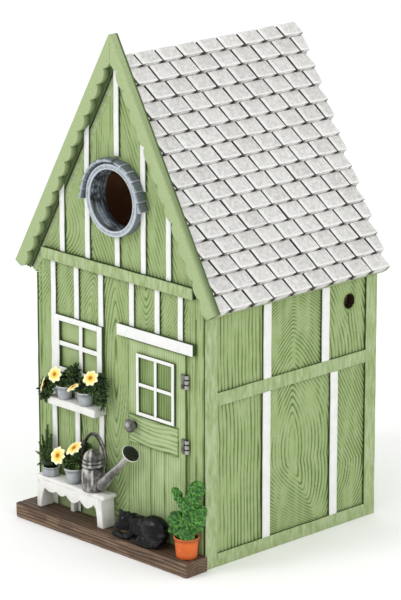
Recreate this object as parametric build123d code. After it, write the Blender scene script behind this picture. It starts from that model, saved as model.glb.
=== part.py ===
from build123d import *
import os
from math import atan2, cos, degrees, radians, sin, tan

# A resin nest box in the shape of a timber-framed cottage.  Millimetres, +Z up.
# The origin is the middle of the body's footprint on its base.  The cottage front
# faces -Y and +X is to the right of someone who stands in front of it.

# ---- driving dimensions -------------------------------------------------------
BODY_W = 127.6           # across the outside faces of the side timbers
BODY_D = 125.6           # front wall face to back wall face
WALL_H = 132.8           # base to the eave
ROOF_PITCH = 60.6        # degrees from level
WALL_T = 5.0             # thickness of the four wall panels
FLOOR_T = 5.0
TRIM_T = 1.5             # how far the side timbers stand out of the wall panel
BATTEN_W = 3.5
BATTEN_T = 1.3           # how far the front battens stand out
FIT = 0.2                # gap between glued trim pieces

SLAB_T = 3.6             # roof slab, square to the slope
TILE_TOP = 2.9           # tile thickness at its upper end
TILE_LIP = 4.1           # and at its lower lip
COURSES = 15
TILE_PITCH = 14.6        # along the ridge
TILE_JOINT = 0.7
ROOF_BACK = 3.9          # roof past the back wall
BARGE_T = 4.0            # scalloped board in front of its backing strip
BARGE_RISE = 5.1         # board above the tiles' mid plane
BARGE_FOOT = 0.5         # board past the lower edge of the roof slab
SCALLOPS = 14
SCALLOP_NOTCH = 5.0      # board width at a notch
SCALLOP_DEPTH = 2.5      # extra width in the middle of a lobe
BACKING_DROP = 1.0       # backing strip below the underside of the roof slab
APEX_TRIM = 1.1          # the sharp tip is eased by this much

ENTRANCE_R = 16.0        # 32 mm entrance hole
ENTRANCE_DROP = 62.0     # entrance centre below the ridge
TUBE_T = 2.0             # collar tube inside the wall
FLANGE_W = 3.2           # collar rim outside the hole
FLANGE_T = 5.4           # collar in front of the wall
TUBE_IN = 1.0            # collar past the inside of the wall
HOOD_T = 3.2
HOOD_D = 7.3
HOOD_SWEEP = 196.0       # degrees of arc that the hood covers
HOOD_FOOT = 4.4

STEP_PAST = 1.8          # step past the body at each end
STEP_D = 15.6
STEP_H = 8.24
BEAM_RISE = 9.7          # belly beam above the eave
BEAM_H = 6.0
BEAM_T = 3.0

POST_FRONT_W = 8.5       # side timbers, measured along the wall
POST_BACK_W = 8.0
BOTTOM_RAIL_H = 7.0
MID_RAIL_Z = 86.0
MID_RAIL_H = 7.0
SIDE_BATTEN_W = 5.5
SIDE_BATTENS_UPPER = (44.2, 87.0)     # centres, from the front wall face
SIDE_BATTENS_LOWER = (43.8, 93.8)
VENT_Y = 106.0           # from the front wall face
VENT_DROP = 11.3         # below the eave
VENT_R = 4.0
DRAIN_R = 2.5
DRAIN_INSET = 40.0       # from the middle of the floor

GABLE_BATTENS = (-42.0, -22.5, 0.0, 19.5, 38.0)
WINDOW_X = (-47.5, -11.0)
WINDOW_Z = (83.0, 114.0)
WINDOW_T = 2.6
WINDOW_STILE = 3.6
WINDOW_RAIL = 3.0
MUNTIN_W = 2.5
MUNTIN_X = -27.5
MUNTIN_Z = 98.75
PANE_T = 0.6
SHELF_X = (-47.0, -10.0)
SHELF_D = 8.5
SHELF_Z = 66.2
SHELF_H = 4.3

DOOR_X = (8.0, 50.0)
DOOR_Z = 112.0
DOOR_T = 1.0
DOOR_GLASS_X = (15.0, 43.0)
DOOR_GLASS_Z = (73.0, 106.0)
DOOR_SASH = 1.8
DOOR_SASH_T = 1.6
DOOR_RAIL_Z = (57.0, 72.0)
DOOR_RAIL_T = 0.8
LINTEL_X = (1.0, 57.0)
LINTEL_GAP = 1.0         # above the door
LINTEL_H = 6.0
KNOB_X = 13.0
KNOB_Z = 67.0
KNOB_R = 3.7
STRAP_W = 5.0            # the two small hinges on the front door
STRAP_Z = (59.5, 94.0)
STRAP_H = 8.0

BENCH_X = (-53.0, -1.5)
BENCH_D = 9.5
BENCH_BACK = 1.6         # gap behind the bench, for the battens
BENCH_TOP = 26.3
BENCH_SEAT_T = 2.4
BENCH_END_T = 3.0
APRON_T = 1.8
APRON_H = 5.0
APRON_WAVES = 4

POT_H = 7.5
CAN_R = 6.0
CAN_X = -12.8
CAN_Y = -7.6             # from the front wall face, forwards is negative
CAN_H = 14.0
TOPIARY_X = 58.0
TOPIARY_POT_R = 6.7
TOPIARY_POT_H = 11.0
CAT_X = 23.0

HATCH_W = 62.0           # clean-out opening in the back wall
HATCH_H = 66.0
HATCH_Z = 24.0
HATCH_GAP = 0.5          # round the door
HATCH_DOOR_T = 4.0
PIN_R = 1.2
PIN_CLEARANCE = 0.05
BARREL_R = 2.4
BARREL_W = 11.0
BARREL_GAP = 0.4
BARREL_X = 22.0          # centre of each wall barrel from the middle
LEAF_T = 1.2
LEAF_H = 12.0
BUTTON_L = 24.0
BUTTON_W = 7.0
BUTTON_T = 2.5
BUTTON_DROP = 6.5        # pivot below the opening
BUTTON_LIFT = 0.4        # clear of the wall and the shut door
SCREW_R = 1.5
SCREW_HEAD_R = 3.0
SCREW_HEAD_T = 1.4

HANGER_W = 22.0
HANGER_H = 36.0
HANGER_T = 1.4
HANGER_DROP = 58.0       # centre of the round keyhole below the ridge
KEY_R = 4.5
SLOT_R = 2.2
SLOT_L = 10.0
POCKET_D = 3.5           # recess in the wall behind the keyhole
HANGER_SCREW_R = 1.4

# ---- places that follow from them ---------------------------------------------
FRONT = -BODY_D / 2
BACK = BODY_D / 2
PANEL_X = BODY_W / 2 - TRIM_T
PITCH = radians(ROOF_PITCH)
RIDGE_UNDER = WALL_H + BODY_W / 2 * tan(PITCH)
SLOPE_END = BODY_W / 2 / cos(PITCH)
ENTRANCE_Z = RIDGE_UNDER - ENTRANCE_DROP
FLANGE_R = ENTRANCE_R + FLANGE_W
HANGER_Z = RIDGE_UNDER - HANGER_DROP
STEP_W = BODY_W + 2 * STEP_PAST
BEAM_Z = WALL_H + BEAM_RISE
VENT_Z = WALL_H - VENT_DROP
LINTEL_Z = DOOR_Z + LINTEL_GAP
TILE_MID = SLAB_T + (TILE_TOP + TILE_LIP) / 2
BARGE_TOP = TILE_MID + BARGE_RISE
BARGE_END = SLOPE_END + BARGE_FOOT
TOP_Z = RIDGE_UNDER + BARGE_TOP / cos(PITCH) - APEX_TRIM
HATCH_TOP = HATCH_Z + HATCH_H
HINGE_Y = BACK + BARREL_R + 0.3
HINGE_Z = HATCH_TOP + BARREL_R
BUTTON_Z = HATCH_Z - BUTTON_DROP


def block(x0, x1, y0, y1, z0, z1):
    """Box between six planes."""
    middle = Pos((x0 + x1) / 2, (y0 + y1) / 2, (z0 + z1) / 2)
    return middle * Box(x1 - x0, y1 - y0, z1 - z0)


def prism(points, y0, y1):
    """Outline of (x, z) points carried along Y."""
    outline = Polyline([(x, y0, z) for x, z in points], close=True)
    return extrude(make_face(outline), amount=y1 - y0, dir=(0, 1, 0))


def rod_y(x, z, radius, y0, y1):
    """Round bar along Y."""
    return Pos(x, (y0 + y1) / 2, z) * Rot(90, 0, 0) * Cylinder(radius, y1 - y0)


def rod_x(y, z, radius, x0, x1):
    """Round bar along X."""
    return Pos((x0 + x1) / 2, y, z) * Rot(0, 90, 0) * Cylinder(radius, x1 - x0)


def roof_point(side, down, out):
    """Point on a slope: down from the ridge, out from the slab's underside."""
    x = down * cos(PITCH) + out * sin(PITCH)
    z = RIDGE_UNDER - down * sin(PITCH) + out * cos(PITCH)
    return (side * x, z)


def mitre(out):
    """Distance down the slope at which a line this far out meets the ridge plane."""
    return -out * tan(PITCH)


def under_roof(out, y0, y1):
    """House-shaped prism that fills everything below a line parallel to the roof."""
    peak = RIDGE_UNDER + out / cos(PITCH)
    reach = BODY_W
    low = peak - reach * tan(PITCH)
    return prism([(-reach, low), (reach, low), (0, peak)], y0, y1)


def save(name, *pieces):
    """Write one node; a node of several pieces keeps them as separate solids."""
    solids = []
    for piece in pieces:
        solids += piece.solids()
    if len(solids) == 1:
        export_step(solids[0], f"parts/{name}.step")
    else:
        export_step(Compound(children=solids), f"parts/{name}.step")


# ---- carcass -------------------------------------------------------------------
def gable_panel(y0, y1):
    """Full-width gable wall panel that stops at the underside of the roof slabs."""
    edge = WALL_H + TRIM_T * tan(PITCH)
    points = [(-PANEL_X, 0), (PANEL_X, 0), (PANEL_X, edge), (0, RIDGE_UNDER), (-PANEL_X, edge)]
    return prism(points, y0, y1)


def front_wall():
    bore = rod_y(0, ENTRANCE_Z, ENTRANCE_R + TUBE_T, FRONT - 1, FRONT + WALL_T + 1)
    return gable_panel(FRONT, FRONT + WALL_T) - bore


def back_wall():
    wall = gable_panel(BACK - WALL_T, BACK)
    opening = block(-HATCH_W / 2, HATCH_W / 2, BACK - WALL_T - 1, BACK + 1, HATCH_Z, HATCH_TOP)
    pocket = rod_y(0, HANGER_Z, KEY_R + 0.5, BACK - POCKET_D, BACK + 1)
    slot_pocket = block(-KEY_R, KEY_R, BACK - POCKET_D, BACK + 1, HANGER_Z, HANGER_Z + SLOT_L)
    wall = wall - opening - pocket - slot_pocket
    wall -= rod_y(0, BUTTON_Z, SCREW_R, BACK - WALL_T + 1, BACK + 1)
    for z in hanger_screw_heights():
        wall -= rod_y(0, z, HANGER_SCREW_R, BACK - WALL_T + 1, BACK + 1)
    return wall


def side_wall(side):
    inner = PANEL_X - WALL_T
    wall = block(inner, PANEL_X, FRONT + WALL_T, BACK - WALL_T, 0, WALL_H)
    wall -= rod_x(FRONT + VENT_Y, VENT_Z, VENT_R, inner - 1, PANEL_X + 1)
    return wall if side > 0 else mirror(wall, Plane.YZ)


def floor_plate():
    half_x = PANEL_X - WALL_T
    half_y = BODY_D / 2 - WALL_T
    plate = block(-half_x, half_x, -half_y, half_y, 0, FLOOR_T)
    for x in (-DRAIN_INSET, DRAIN_INSET):
        for y in (-DRAIN_INSET, DRAIN_INSET):
            plate -= Pos(x, y, FLOOR_T / 2) * Cylinder(DRAIN_R, FLOOR_T + 2)
    return plate


# ---- side timbers ----------------------------------------------------------------
def on_both_sides(pieces):
    """The given right-hand pieces and their mirror images."""
    return pieces + [mirror(piece, Plane.YZ) for piece in pieces]


def side_strip(y0, y1, z0, z1):
    return block(PANEL_X, BODY_W / 2, y0, y1, z0, z1)


def corner_posts():
    front = side_strip(FRONT, FRONT + POST_FRONT_W, 0, WALL_H)
    back = side_strip(BACK - POST_BACK_W, BACK, 0, WALL_H)
    return on_both_sides([front, back])


def side_rail(z, height):
    return side_strip(FRONT + POST_FRONT_W, BACK - POST_BACK_W, z, z + height)


def side_battens():
    half = SIDE_BATTEN_W / 2
    upper_z = MID_RAIL_Z + MID_RAIL_H
    strips = []
    for y in SIDE_BATTENS_UPPER:
        strips.append(side_strip(FRONT + y - half, FRONT + y + half, upper_z, WALL_H))
    for y in SIDE_BATTENS_LOWER:
        strips.append(side_strip(FRONT + y - half, FRONT + y + half, BOTTOM_RAIL_H, MID_RAIL_Z))
    return on_both_sides(strips)


# ---- entrance ----------------------------------------------------------------------
def entrance_collar():
    """Tube through the wall with a thick rim in front of it."""
    rim = rod_y(0, ENTRANCE_Z, FLANGE_R, FRONT - FLANGE_T, FRONT)
    tube = rod_y(0, ENTRANCE_Z, ENTRANCE_R + TUBE_T, FRONT, FRONT + WALL_T + TUBE_IN)
    bore = rod_y(0, ENTRANCE_Z, ENTRANCE_R, FRONT - FLANGE_T - 1, FRONT + WALL_T + TUBE_IN + 1)
    return rim + tube - bore


def hood_arc(radius, start, end):
    """Point list along an arc about the entrance, degrees from level."""
    steps = 24
    angles = [start + (end - start) * i / steps for i in range(steps + 1)]
    return [(radius * cos(radians(a)), ENTRANCE_Z + radius * sin(radians(a))) for a in angles]


def entrance_hood():
    """Eyebrow over the upper half of the collar, with feet that turn outwards."""
    start = 90 - HOOD_SWEEP / 2
    end = 90 + HOOD_SWEEP / 2
    inner = FLANGE_R + FIT
    outline = hood_arc(inner + HOOD_T, start, end) + hood_arc(inner, end, start)
    hood = prism(outline, FRONT - HOOD_D, FRONT)
    foot_z = ENTRANCE_Z + inner * sin(radians(start))
    foot = block(inner, inner + HOOD_FOOT + 0.6, FRONT - HOOD_D, FRONT, foot_z, foot_z + HOOD_T)
    return hood + foot + mirror(foot, Plane.YZ)


# ---- timbers and battens of the front ---------------------------------------------
def gable_beam():
    """Belly beam, cut to the slope of the bargeboards at both ends."""
    beam = block(-BODY_W, BODY_W, FRONT - BEAM_T, FRONT, BEAM_Z, BEAM_Z + BEAM_H)
    edge = BARGE_TOP - SCALLOP_NOTCH - SCALLOP_DEPTH
    return beam & under_roof(min(edge, 0) - BACKING_DROP - FIT, FRONT - BEAM_T, FRONT)


def gable_battens():
    room = under_roof(-BACKING_DROP - FIT, FRONT - BATTEN_T, FRONT)
    ring = rod_y(0, ENTRANCE_Z, FLANGE_R + FIT, FRONT - BATTEN_T - 1, FRONT + 1)
    strips = []
    for x in GABLE_BATTENS:
        strip = block(x - BATTEN_W / 2, x + BATTEN_W / 2, FRONT - BATTEN_T, FRONT,
                      BEAM_Z + BEAM_H, TOP_Z)
        strips.append((strip & room) - ring - entrance_hood())
    return strips


def front_batten(x, z0, z1):
    return block(x - BATTEN_W / 2, x + BATTEN_W / 2, FRONT - BATTEN_T, FRONT, z0, z1)


def front_battens():
    """Outer strip runs from beam to step; the others stop at the window, shelf or door."""
    shelf_top = SHELF_Z + SHELF_H
    lintel_top = LINTEL_Z + LINTEL_H
    strips = [front_batten(WINDOW_X[0] - BATTEN_W / 2 - FIT, STEP_H, BEAM_Z)]
    for x in (-31.5, -12.8):
        strips.append(front_batten(x, WINDOW_Z[1], BEAM_Z))
        strips.append(front_batten(x, STEP_H, SHELF_Z))
        strips.append(front_batten(x, shelf_top, WINDOW_Z[0]))
    for x in (10.5, 29.5, 46.5):
        strips.append(front_batten(x, lintel_top, BEAM_Z))
    return strips


def front_step():
    step = block(-STEP_W / 2, STEP_W / 2, FRONT - STEP_D, FRONT, 0, STEP_H)
    return chamfer(step.edges().filter_by(Axis.Z).group_by(Axis.Y)[0], 1.2)


# ---- window and flower shelf --------------------------------------------------------
def bar_frame(x_range, z_range, stile, rail, y0, y1):
    """Two stiles and two rails, butted, as four separate bars."""
    x0, x1 = x_range
    z0, z1 = z_range
    left = block(x0, x0 + stile, y0, y1, z0, z1)
    right = block(x1 - stile, x1, y0, y1, z0, z1)
    bottom = block(x0 + stile, x1 - stile, y0, y1, z0, z0 + rail)
    top = block(x0 + stile, x1 - stile, y0, y1, z1 - rail, z1)
    return [left, right, bottom, top]


def glazing_bars(x_range, z_range, stile, rail, x, z, width, y0, y1):
    """One upright bar and a level bar in two pieces, filling a bar_frame."""
    half = width / 2
    low = z_range[0] + rail
    high = z_range[1] - rail
    upright = block(x - half, x + half, y0, y1, low, high)
    left = block(x_range[0] + stile, x - half, y0, y1, z - half, z + half)
    right = block(x + half, x_range[1] - stile, y0, y1, z - half, z + half)
    return [upright, left, right]


def window_panes():
    x0 = WINDOW_X[0] + WINDOW_STILE
    x1 = WINDOW_X[1] - WINDOW_STILE
    z0 = WINDOW_Z[0] + WINDOW_RAIL
    z1 = WINDOW_Z[1] - WINDOW_RAIL
    return block(x0, x1, FRONT - PANE_T, FRONT, z0, z1)


def flower_shelf():
    shelf = block(SHELF_X[0], SHELF_X[1], FRONT - SHELF_D, FRONT, SHELF_Z, SHELF_Z + SHELF_H)
    return fillet(shelf.edges().filter_by(Axis.X).group_by(Axis.Y)[0], 0.8)


# ---- door of the cottage (fixed relief) ----------------------------------------------
def door_leaf():
    return block(DOOR_X[0], DOOR_X[1], FRONT - DOOR_T, FRONT, STEP_H, DOOR_Z)


def door_mid_rail():
    y1 = FRONT - DOOR_T
    x1 = DOOR_X[1] - STRAP_W - FIT
    return block(DOOR_X[0] + 1, x1, y1 - DOOR_RAIL_T, y1, DOOR_RAIL_Z[0], DOOR_RAIL_Z[1])


def door_sash():
    y1 = FRONT - DOOR_T
    return bar_frame(DOOR_GLASS_X, DOOR_GLASS_Z, DOOR_SASH, DOOR_SASH, y1 - DOOR_SASH_T, y1)


def door_glazing_bars():
    y1 = FRONT - DOOR_T
    x = sum(DOOR_GLASS_X) / 2
    z = sum(DOOR_GLASS_Z) / 2
    return glazing_bars(DOOR_GLASS_X, DOOR_GLASS_Z, DOOR_SASH, DOOR_SASH, x, z, DOOR_SASH,
                        y1 - DOOR_SASH_T + 0.3, y1)


def door_lintel():
    z1 = LINTEL_Z + LINTEL_H
    return block(LINTEL_X[0], LINTEL_X[1], FRONT - BEAM_T, FRONT, LINTEL_Z, z1)


def door_knob():
    face = FRONT - DOOR_T - DOOR_RAIL_T
    stem = rod_y(KNOB_X, KNOB_Z, KNOB_R * 0.5, face - 1.2, face)
    ball = Pos(KNOB_X, face - 1.2 - KNOB_R * 0.5, KNOB_Z) * scale(Sphere(KNOB_R), by=(1, 0.6, 1))
    return stem + ball


def door_straps():
    """The two small hinges: a plate on the leaf with a barrel beside it."""
    pieces = []
    for z in STRAP_Z:
        plate = block(DOOR_X[1] - STRAP_W, DOOR_X[1] - 0.2, FRONT - DOOR_T - 0.8, FRONT - DOOR_T,
                      z, z + STRAP_H)
        barrel = Pos(DOOR_X[1] + 1.3, FRONT - 1.2, z + STRAP_H / 2) * Cylinder(1.2, STRAP_H)
        pieces.append(plate)
        pieces.append(barrel)
    return pieces


# ---- bench, pots and figurines ---------------------------------------------------------
def bench_seat():
    y1 = FRONT - BENCH_BACK
    seat = block(BENCH_X[0] - 1, BENCH_X[1] + 0.5, y1 - BENCH_D, y1, BENCH_TOP - BENCH_SEAT_T, BENCH_TOP)
    return fillet(seat.edges().filter_by(Axis.Z), 0.8)


def bench_end(x_top, lean):
    """Slab leg that leans outwards to its foot."""
    top = BENCH_TOP - BENCH_SEAT_T
    y1 = FRONT - BENCH_BACK
    x0 = x_top - BENCH_END_T / 2
    x1 = x_top + BENCH_END_T / 2
    points = [(x0 + lean, STEP_H), (x1 + lean, STEP_H), (x1, top), (x0, top)]
    return prism(points, y1 - BENCH_D, y1)


def bench_ends():
    inset = BENCH_END_T / 2
    return [bench_end(BENCH_X[0] + inset, 0), bench_end(BENCH_X[1] - inset - 1.5, 1.5)]


def bench_apron():
    """Board under the front edge of the seat, with a waved lower edge."""
    x0 = BENCH_X[0] + BENCH_END_T + FIT
    x1 = BENCH_X[1] - BENCH_END_T - 1.5 - FIT
    top = BENCH_TOP - BENCH_SEAT_T
    low = top - APRON_H
    span = (x1 - x0) / APRON_WAVES
    y = FRONT - BENCH_BACK - BENCH_D + 0.4
    edges = [Line((x0, y, low), (x0, y, top)), Line((x0, y, top), (x1, y, top)),
             Line((x1, y, top), (x1, y, low))]
    for i in range(APRON_WAVES):
        right = x1 - span * i
        middle = (right - span / 2, y, low - 1.5)
        edges.append(ThreePointArc((right, y, low), middle, (right - span, y, low)))
    return extrude(make_face(edges), amount=APRON_T, dir=(0, 1, 0))


def pot(x, y, z, radius, height):
    """Flared flower pot with a rolled rim, solid up to the soil."""
    rim = 1.6
    body = Pos(x, y, z + height / 2) * Cone(radius * 0.72, radius * 0.95, height)
    ring = Pos(x, y, z + height - rim / 2) * Cylinder(radius, rim)
    return body + ring


def clump(tufts):
    """Foliage mass made of overlapping upright drums, (x, y, z, radius) each."""
    mass = None
    for x, y, z, radius in tufts:
        drum = Pos(x, y, z) * Cylinder(radius, 1.7 * radius)
        mass = drum if mass is None else mass + drum
    return mass


def bloom(x, y, z, radius):
    """Flower as a shallow disc that looks forwards and up."""
    return Pos(x, y, z) * Rot(50, 0, 0) * Cone(radius * 0.6, radius, 1.6)


SHELF_POTS = ((-36.5, -5.4), (-20.5, -5.4))
SHELF_POT_R = 4.6
BENCH_POT = (-28.5, -6.8)
BENCH_POT_R = 5.4
FERN_POT = (-46.5, -6.8)
FERN_POT_R = 4.4


def shelf_pots():
    z = SHELF_Z + SHELF_H
    return [pot(x, FRONT + y, z, SHELF_POT_R, POT_H) for x, y in SHELF_POTS]


def shelf_plants():
    """Bushes in the shelf pots; the outer sprigs hang over both ends of the shelf."""
    z = SHELF_Z + SHELF_H + POT_H
    plants = []
    for (x, y), lean in zip(SHELF_POTS, (-1, 1)):
        y = FRONT + y
        tufts = [(x, y - 0.6, z + 3.6, 4.3), (x + lean * 5.0, y - 0.8, z + 2.6, 3.6),
                 (x - lean * 4.4, y - 1.2, z + 3.4, 3.2), (x + lean * 8.4, y - 0.6, z + 1.2, 2.8)]
        keep = block(x - 30, x + 30, FRONT - 20, FRONT - WINDOW_T - FIT, z, z + 20)
        plants.append(clump(tufts) & keep)
    return plants


def shelf_flowers():
    z = SHELF_Z + SHELF_H + POT_H
    heads = ((-13.5, 3.4), (-2.6, 8.2), (12.0, 6.8), (25.0, 9.6))
    x = SHELF_POTS[0][0]
    y = FRONT + SHELF_POTS[0][1] - 5.9
    return [bloom(x + dx, y, z + dz - 2.0, 4.3) for dx, dz in heads]


def bench_pot():
    return pot(BENCH_POT[0], FRONT + BENCH_POT[1], BENCH_TOP, BENCH_POT_R, POT_H + 1)


def bench_plant():
    x = BENCH_POT[0]
    y = FRONT + BENCH_POT[1]
    z = BENCH_TOP + POT_H + 1
    tufts = [(x, y, z + 2.0, 4.4), (x - 3.0, y + 0.4, z + 4.2, 3.6), (x + 3.4, y + 0.6, z + 5.0, 3.4),
             (x + 3.0, y + 1.4, z + 10.0, 2.6)]
    return clump(tufts) & block(x - 20, x + 20, y - 20, FRONT - BATTEN_T - FIT, z, z + 30)


def bench_flowers():
    z = BENCH_TOP + POT_H + 1
    y = FRONT + BENCH_POT[1] - 5.6
    x = BENCH_POT[0]
    return [bloom(x - 5.6, y, z + 4.2, 5.0), bloom(x + 4.4, y + 0.8, z + 9.0, 5.0)]


def fern_pot():
    return pot(FERN_POT[0], FRONT + FERN_POT[1], BENCH_TOP, FERN_POT_R, POT_H - 2.5)


def fern():
    """Upright feathery plant beside the flowers."""
    x = FERN_POT[0]
    y = FRONT + FERN_POT[1]
    z = BENCH_TOP + POT_H - 2.5
    tufts = [(x, y, z + 2.2, 3.4), (x - 4.4, y + 0.6, z + 1.6, 3.2), (x - 6.4, y + 1.0, z + 5.6, 3.0),
             (x - 6.8, y + 1.4, z + 10.4, 2.7), (x - 7.0, y + 1.8, z + 14.8, 2.2)]
    return clump(tufts) & block(x - 20, x + 4.6, y - 20, FRONT - BATTEN_T - FIT, z, z + 30)


def can_body():
    """Watering can: slightly tapered drum with a domed half cover."""
    x = CAN_X
    y = FRONT + CAN_Y
    drum = Pos(x, y, BENCH_TOP + CAN_H / 2) * Cone(CAN_R, CAN_R * 0.86, CAN_H)
    band = Pos(x, y, BENCH_TOP + CAN_H) * Cylinder(CAN_R * 0.92, 1.4)
    dome = Pos(x, y, BENCH_TOP + CAN_H) * scale(Sphere(CAN_R * 0.86), by=(1, 1, 1.5))
    dome = dome & block(x - 10, x + 10, y - 10, y + 10, BENCH_TOP + CAN_H, BENCH_TOP + CAN_H + 20)
    return drum + band + dome


def can_handle():
    """Hoop over the can, from shoulder to shoulder."""
    z = BENCH_TOP + CAN_H + 7.0
    hoop = Pos(CAN_X, FRONT + CAN_Y, z) * Rot(90, 0, 0) * Torus(7.6, 1.1)
    return hoop - can_body()


def can_spout():
    """Tapered pipe from low on the drum to the rose."""
    foot = Vector(CAN_X + CAN_R * 0.5, FRONT + CAN_Y, BENCH_TOP + 4.5)
    tip = Vector(CAN_X + 26.5, FRONT + CAN_Y, BENCH_TOP + 22.5)
    run = tip - foot
    lean = degrees(atan2(run.X, run.Z))
    middle = (foot + tip) * 0.5
    pipe = Pos(middle) * Rot(0, lean, 0) * Cone(2.6, 1.5, run.length)
    rose = Pos(tip) * Rot(0, lean, 0) * Pos(0, 0, 1.6) * Cone(1.6, 4.6, 4.0)
    return pipe + rose - can_body() - can_handle()


def sleeping_cat():
    """Curled cat: haunch, back, head and the tail along its front."""
    y = FRONT - 8.0
    haunch = Pos(CAT_X + 7.5, y, STEP_H + 5.5) * scale(Sphere(1), by=(9.5, 6.2, 8.8))
    chest = Pos(CAT_X - 3, y + 0.4, STEP_H + 5) * scale(Sphere(1), by=(11, 5.8, 8.0))
    head = Pos(CAT_X - 9.5, y - 1.4, STEP_H + 5.0) * scale(Sphere(1), by=(6.2, 5.2, 6.4))
    tail = Pos(CAT_X + 5, y - 3.6, STEP_H + 1.5) * scale(Sphere(1), by=(12, 3.2, 2.6))
    body = haunch + chest + head + tail
    return body & block(CAT_X - 25, CAT_X + 25, FRONT - STEP_D + 0.4, FRONT - DOOR_T - FIT, STEP_H, 50)


def topiary_pot():
    return pot(TOPIARY_X, FRONT - 8.0, STEP_H, TOPIARY_POT_R, TOPIARY_POT_H)


def topiary_plant():
    """Clipped evergreen: a tall central mass with lobes at its foot and shoulder."""
    x = TOPIARY_X
    y = FRONT - 8.0
    z = STEP_H + TOPIARY_POT_H
    tufts = [(x, y, z + 3.0, 5.4), (x - 6.6, y - 0.4, z + 5.6, 5.0), (x - 7.4, y - 0.6, z + 1.6, 4.0),
             (x + 1.6, y + 0.2, z + 11.0, 5.6), (x - 4.6, y - 0.2, z + 17.0, 4.6),
             (x + 2.8, y + 0.4, z + 19.5, 5.2), (x + 3.6, y + 0.6, z + 27.0, 4.0)]
    return clump(tufts) & block(x - 20, x + 20, y - 20, FRONT - DOOR_T - FIT, z, z + 40)


# ---- roof -------------------------------------------------------------------------------
def roof_slab(side):
    points = [roof_point(side, mitre(0), 0), roof_point(side, SLOPE_END, 0),
              roof_point(side, SLOPE_END, SLAB_T), roof_point(side, mitre(SLAB_T), SLAB_T)]
    return prism(points, FRONT, BACK + ROOF_BACK)


def tile_profile(side, course):
    """Wedge section of one course; the top one is cut to the ridge plane."""
    low = SLAB_T
    first = mitre(SLAB_T + TILE_TOP)
    exposure = (SLOPE_END - first) / COURSES
    top = first + exposure * course
    bottom = top + exposure - 0.3
    upper_corner = roof_point(side, top, SLAB_T + TILE_TOP)
    upper_foot = roof_point(side, mitre(low) if course == 0 else top, low)
    lower_foot = roof_point(side, bottom, low)
    return [upper_foot, lower_foot, roof_point(side, bottom, SLAB_T + TILE_LIP), upper_corner]


def roof_tiles(side):
    """Rows of separate tiles, every other row shifted by half a tile."""
    tiles = []
    end = BACK + ROOF_BACK
    for course in range(COURSES):
        profile = tile_profile(side, course)
        start = FRONT
        stop = FRONT + (0.9 if course % 2 == 0 else 0.45) * TILE_PITCH
        while start < end - 1:
            tiles.append(prism(profile, start + TILE_JOINT / 2, min(stop, end) - TILE_JOINT / 2))
            start = stop
            stop = stop + TILE_PITCH
            if end - stop < TILE_PITCH * 0.25:
                stop = end
    return tiles


def barge_outline(side, y):
    """Edges of the scalloped board: straight on top, a row of lobes underneath."""
    def at(down, out):
        x, z = roof_point(side, down, out)
        return (x, y, z)

    notch = BARGE_TOP - SCALLOP_NOTCH
    lobe = notch - SCALLOP_DEPTH
    start = mitre(notch)
    pitch = (BARGE_END - start) / SCALLOPS
    edges = [Line(at(start, notch), at(mitre(BARGE_TOP), BARGE_TOP)),
             Line(at(mitre(BARGE_TOP), BARGE_TOP), at(BARGE_END, BARGE_TOP)),
             Line(at(BARGE_END, BARGE_TOP), at(BARGE_END, notch))]
    for i in range(SCALLOPS):
        foot = BARGE_END - pitch * i
        head = foot - pitch
        edges.append(ThreePointArc(at(foot, notch), at((foot + head) / 2, lobe), at(head, notch)))
    return edges


def bargeboard(side):
    """Scalloped board fused to the plain strip that covers the roof's front edge."""
    y = FRONT - BATTEN_T - BARGE_T
    board = extrude(make_face(barge_outline(side, y)), amount=BARGE_T, dir=(0, 1, 0))
    strip = prism([roof_point(side, mitre(-BACKING_DROP), -BACKING_DROP),
                   roof_point(side, BARGE_END, -BACKING_DROP),
                   roof_point(side, BARGE_END, BARGE_TOP),
                   roof_point(side, mitre(BARGE_TOP), BARGE_TOP)], FRONT - BATTEN_T, FRONT)
    tip = block(-20, 20, y - 1, FRONT + 1, TOP_Z, TOP_Z + 10)
    x0, x1 = sorted((0, side * BODY_W))
    return (board + strip - tip) & block(x0, x1, y - 1, FRONT + 1, 0, TOP_Z + 10)


# ---- clean-out door, latch and hanger on the back ------------------------------------------
def hatch_door():
    half = HATCH_W / 2 - HATCH_GAP
    door = block(-half, half, BACK - HATCH_DOOR_T, BACK, HATCH_Z + HATCH_GAP, HATCH_TOP - HATCH_GAP)
    return chamfer(door.edges().filter_by(Axis.Y), 0.8)


def barrel(x, width, z):
    return rod_x(HINGE_Y, z, BARREL_R, x - width / 2, x + width / 2)


def hinge_wall_barrels():
    """Two fixed knuckles above the opening, each on its own plate."""
    pieces = []
    for x in (-BARREL_X, BARREL_X):
        x0 = x - BARREL_W / 2
        x1 = x + BARREL_W / 2
        plate = block(x0, x1, BACK, BACK + LEAF_T, HINGE_Z, HINGE_Z + LEAF_H)
        web = block(x0, x1, BACK, HINGE_Y, HINGE_Z, HINGE_Z + BARREL_R)
        knuckle = barrel(x, BARREL_W, HINGE_Z) + plate + web
        pieces.append(knuckle - rod_x(HINGE_Y, HINGE_Z, PIN_R, x0 - 1, x1 + 1))
    return pieces


def hinge_door_leaf():
    """Long middle knuckle on a plate that is fixed to the clean-out door."""
    half = BARREL_X - BARREL_W / 2 - BARREL_GAP
    plate_top = HATCH_TOP - HATCH_GAP
    plate = block(-half, half, BACK, BACK + LEAF_T, plate_top - LEAF_H, HINGE_Z)
    knuckle = barrel(0, 2 * half, HINGE_Z) + plate
    return knuckle - rod_x(HINGE_Y, HINGE_Z, PIN_R + PIN_CLEARANCE, -half - 1, half + 1)


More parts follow.
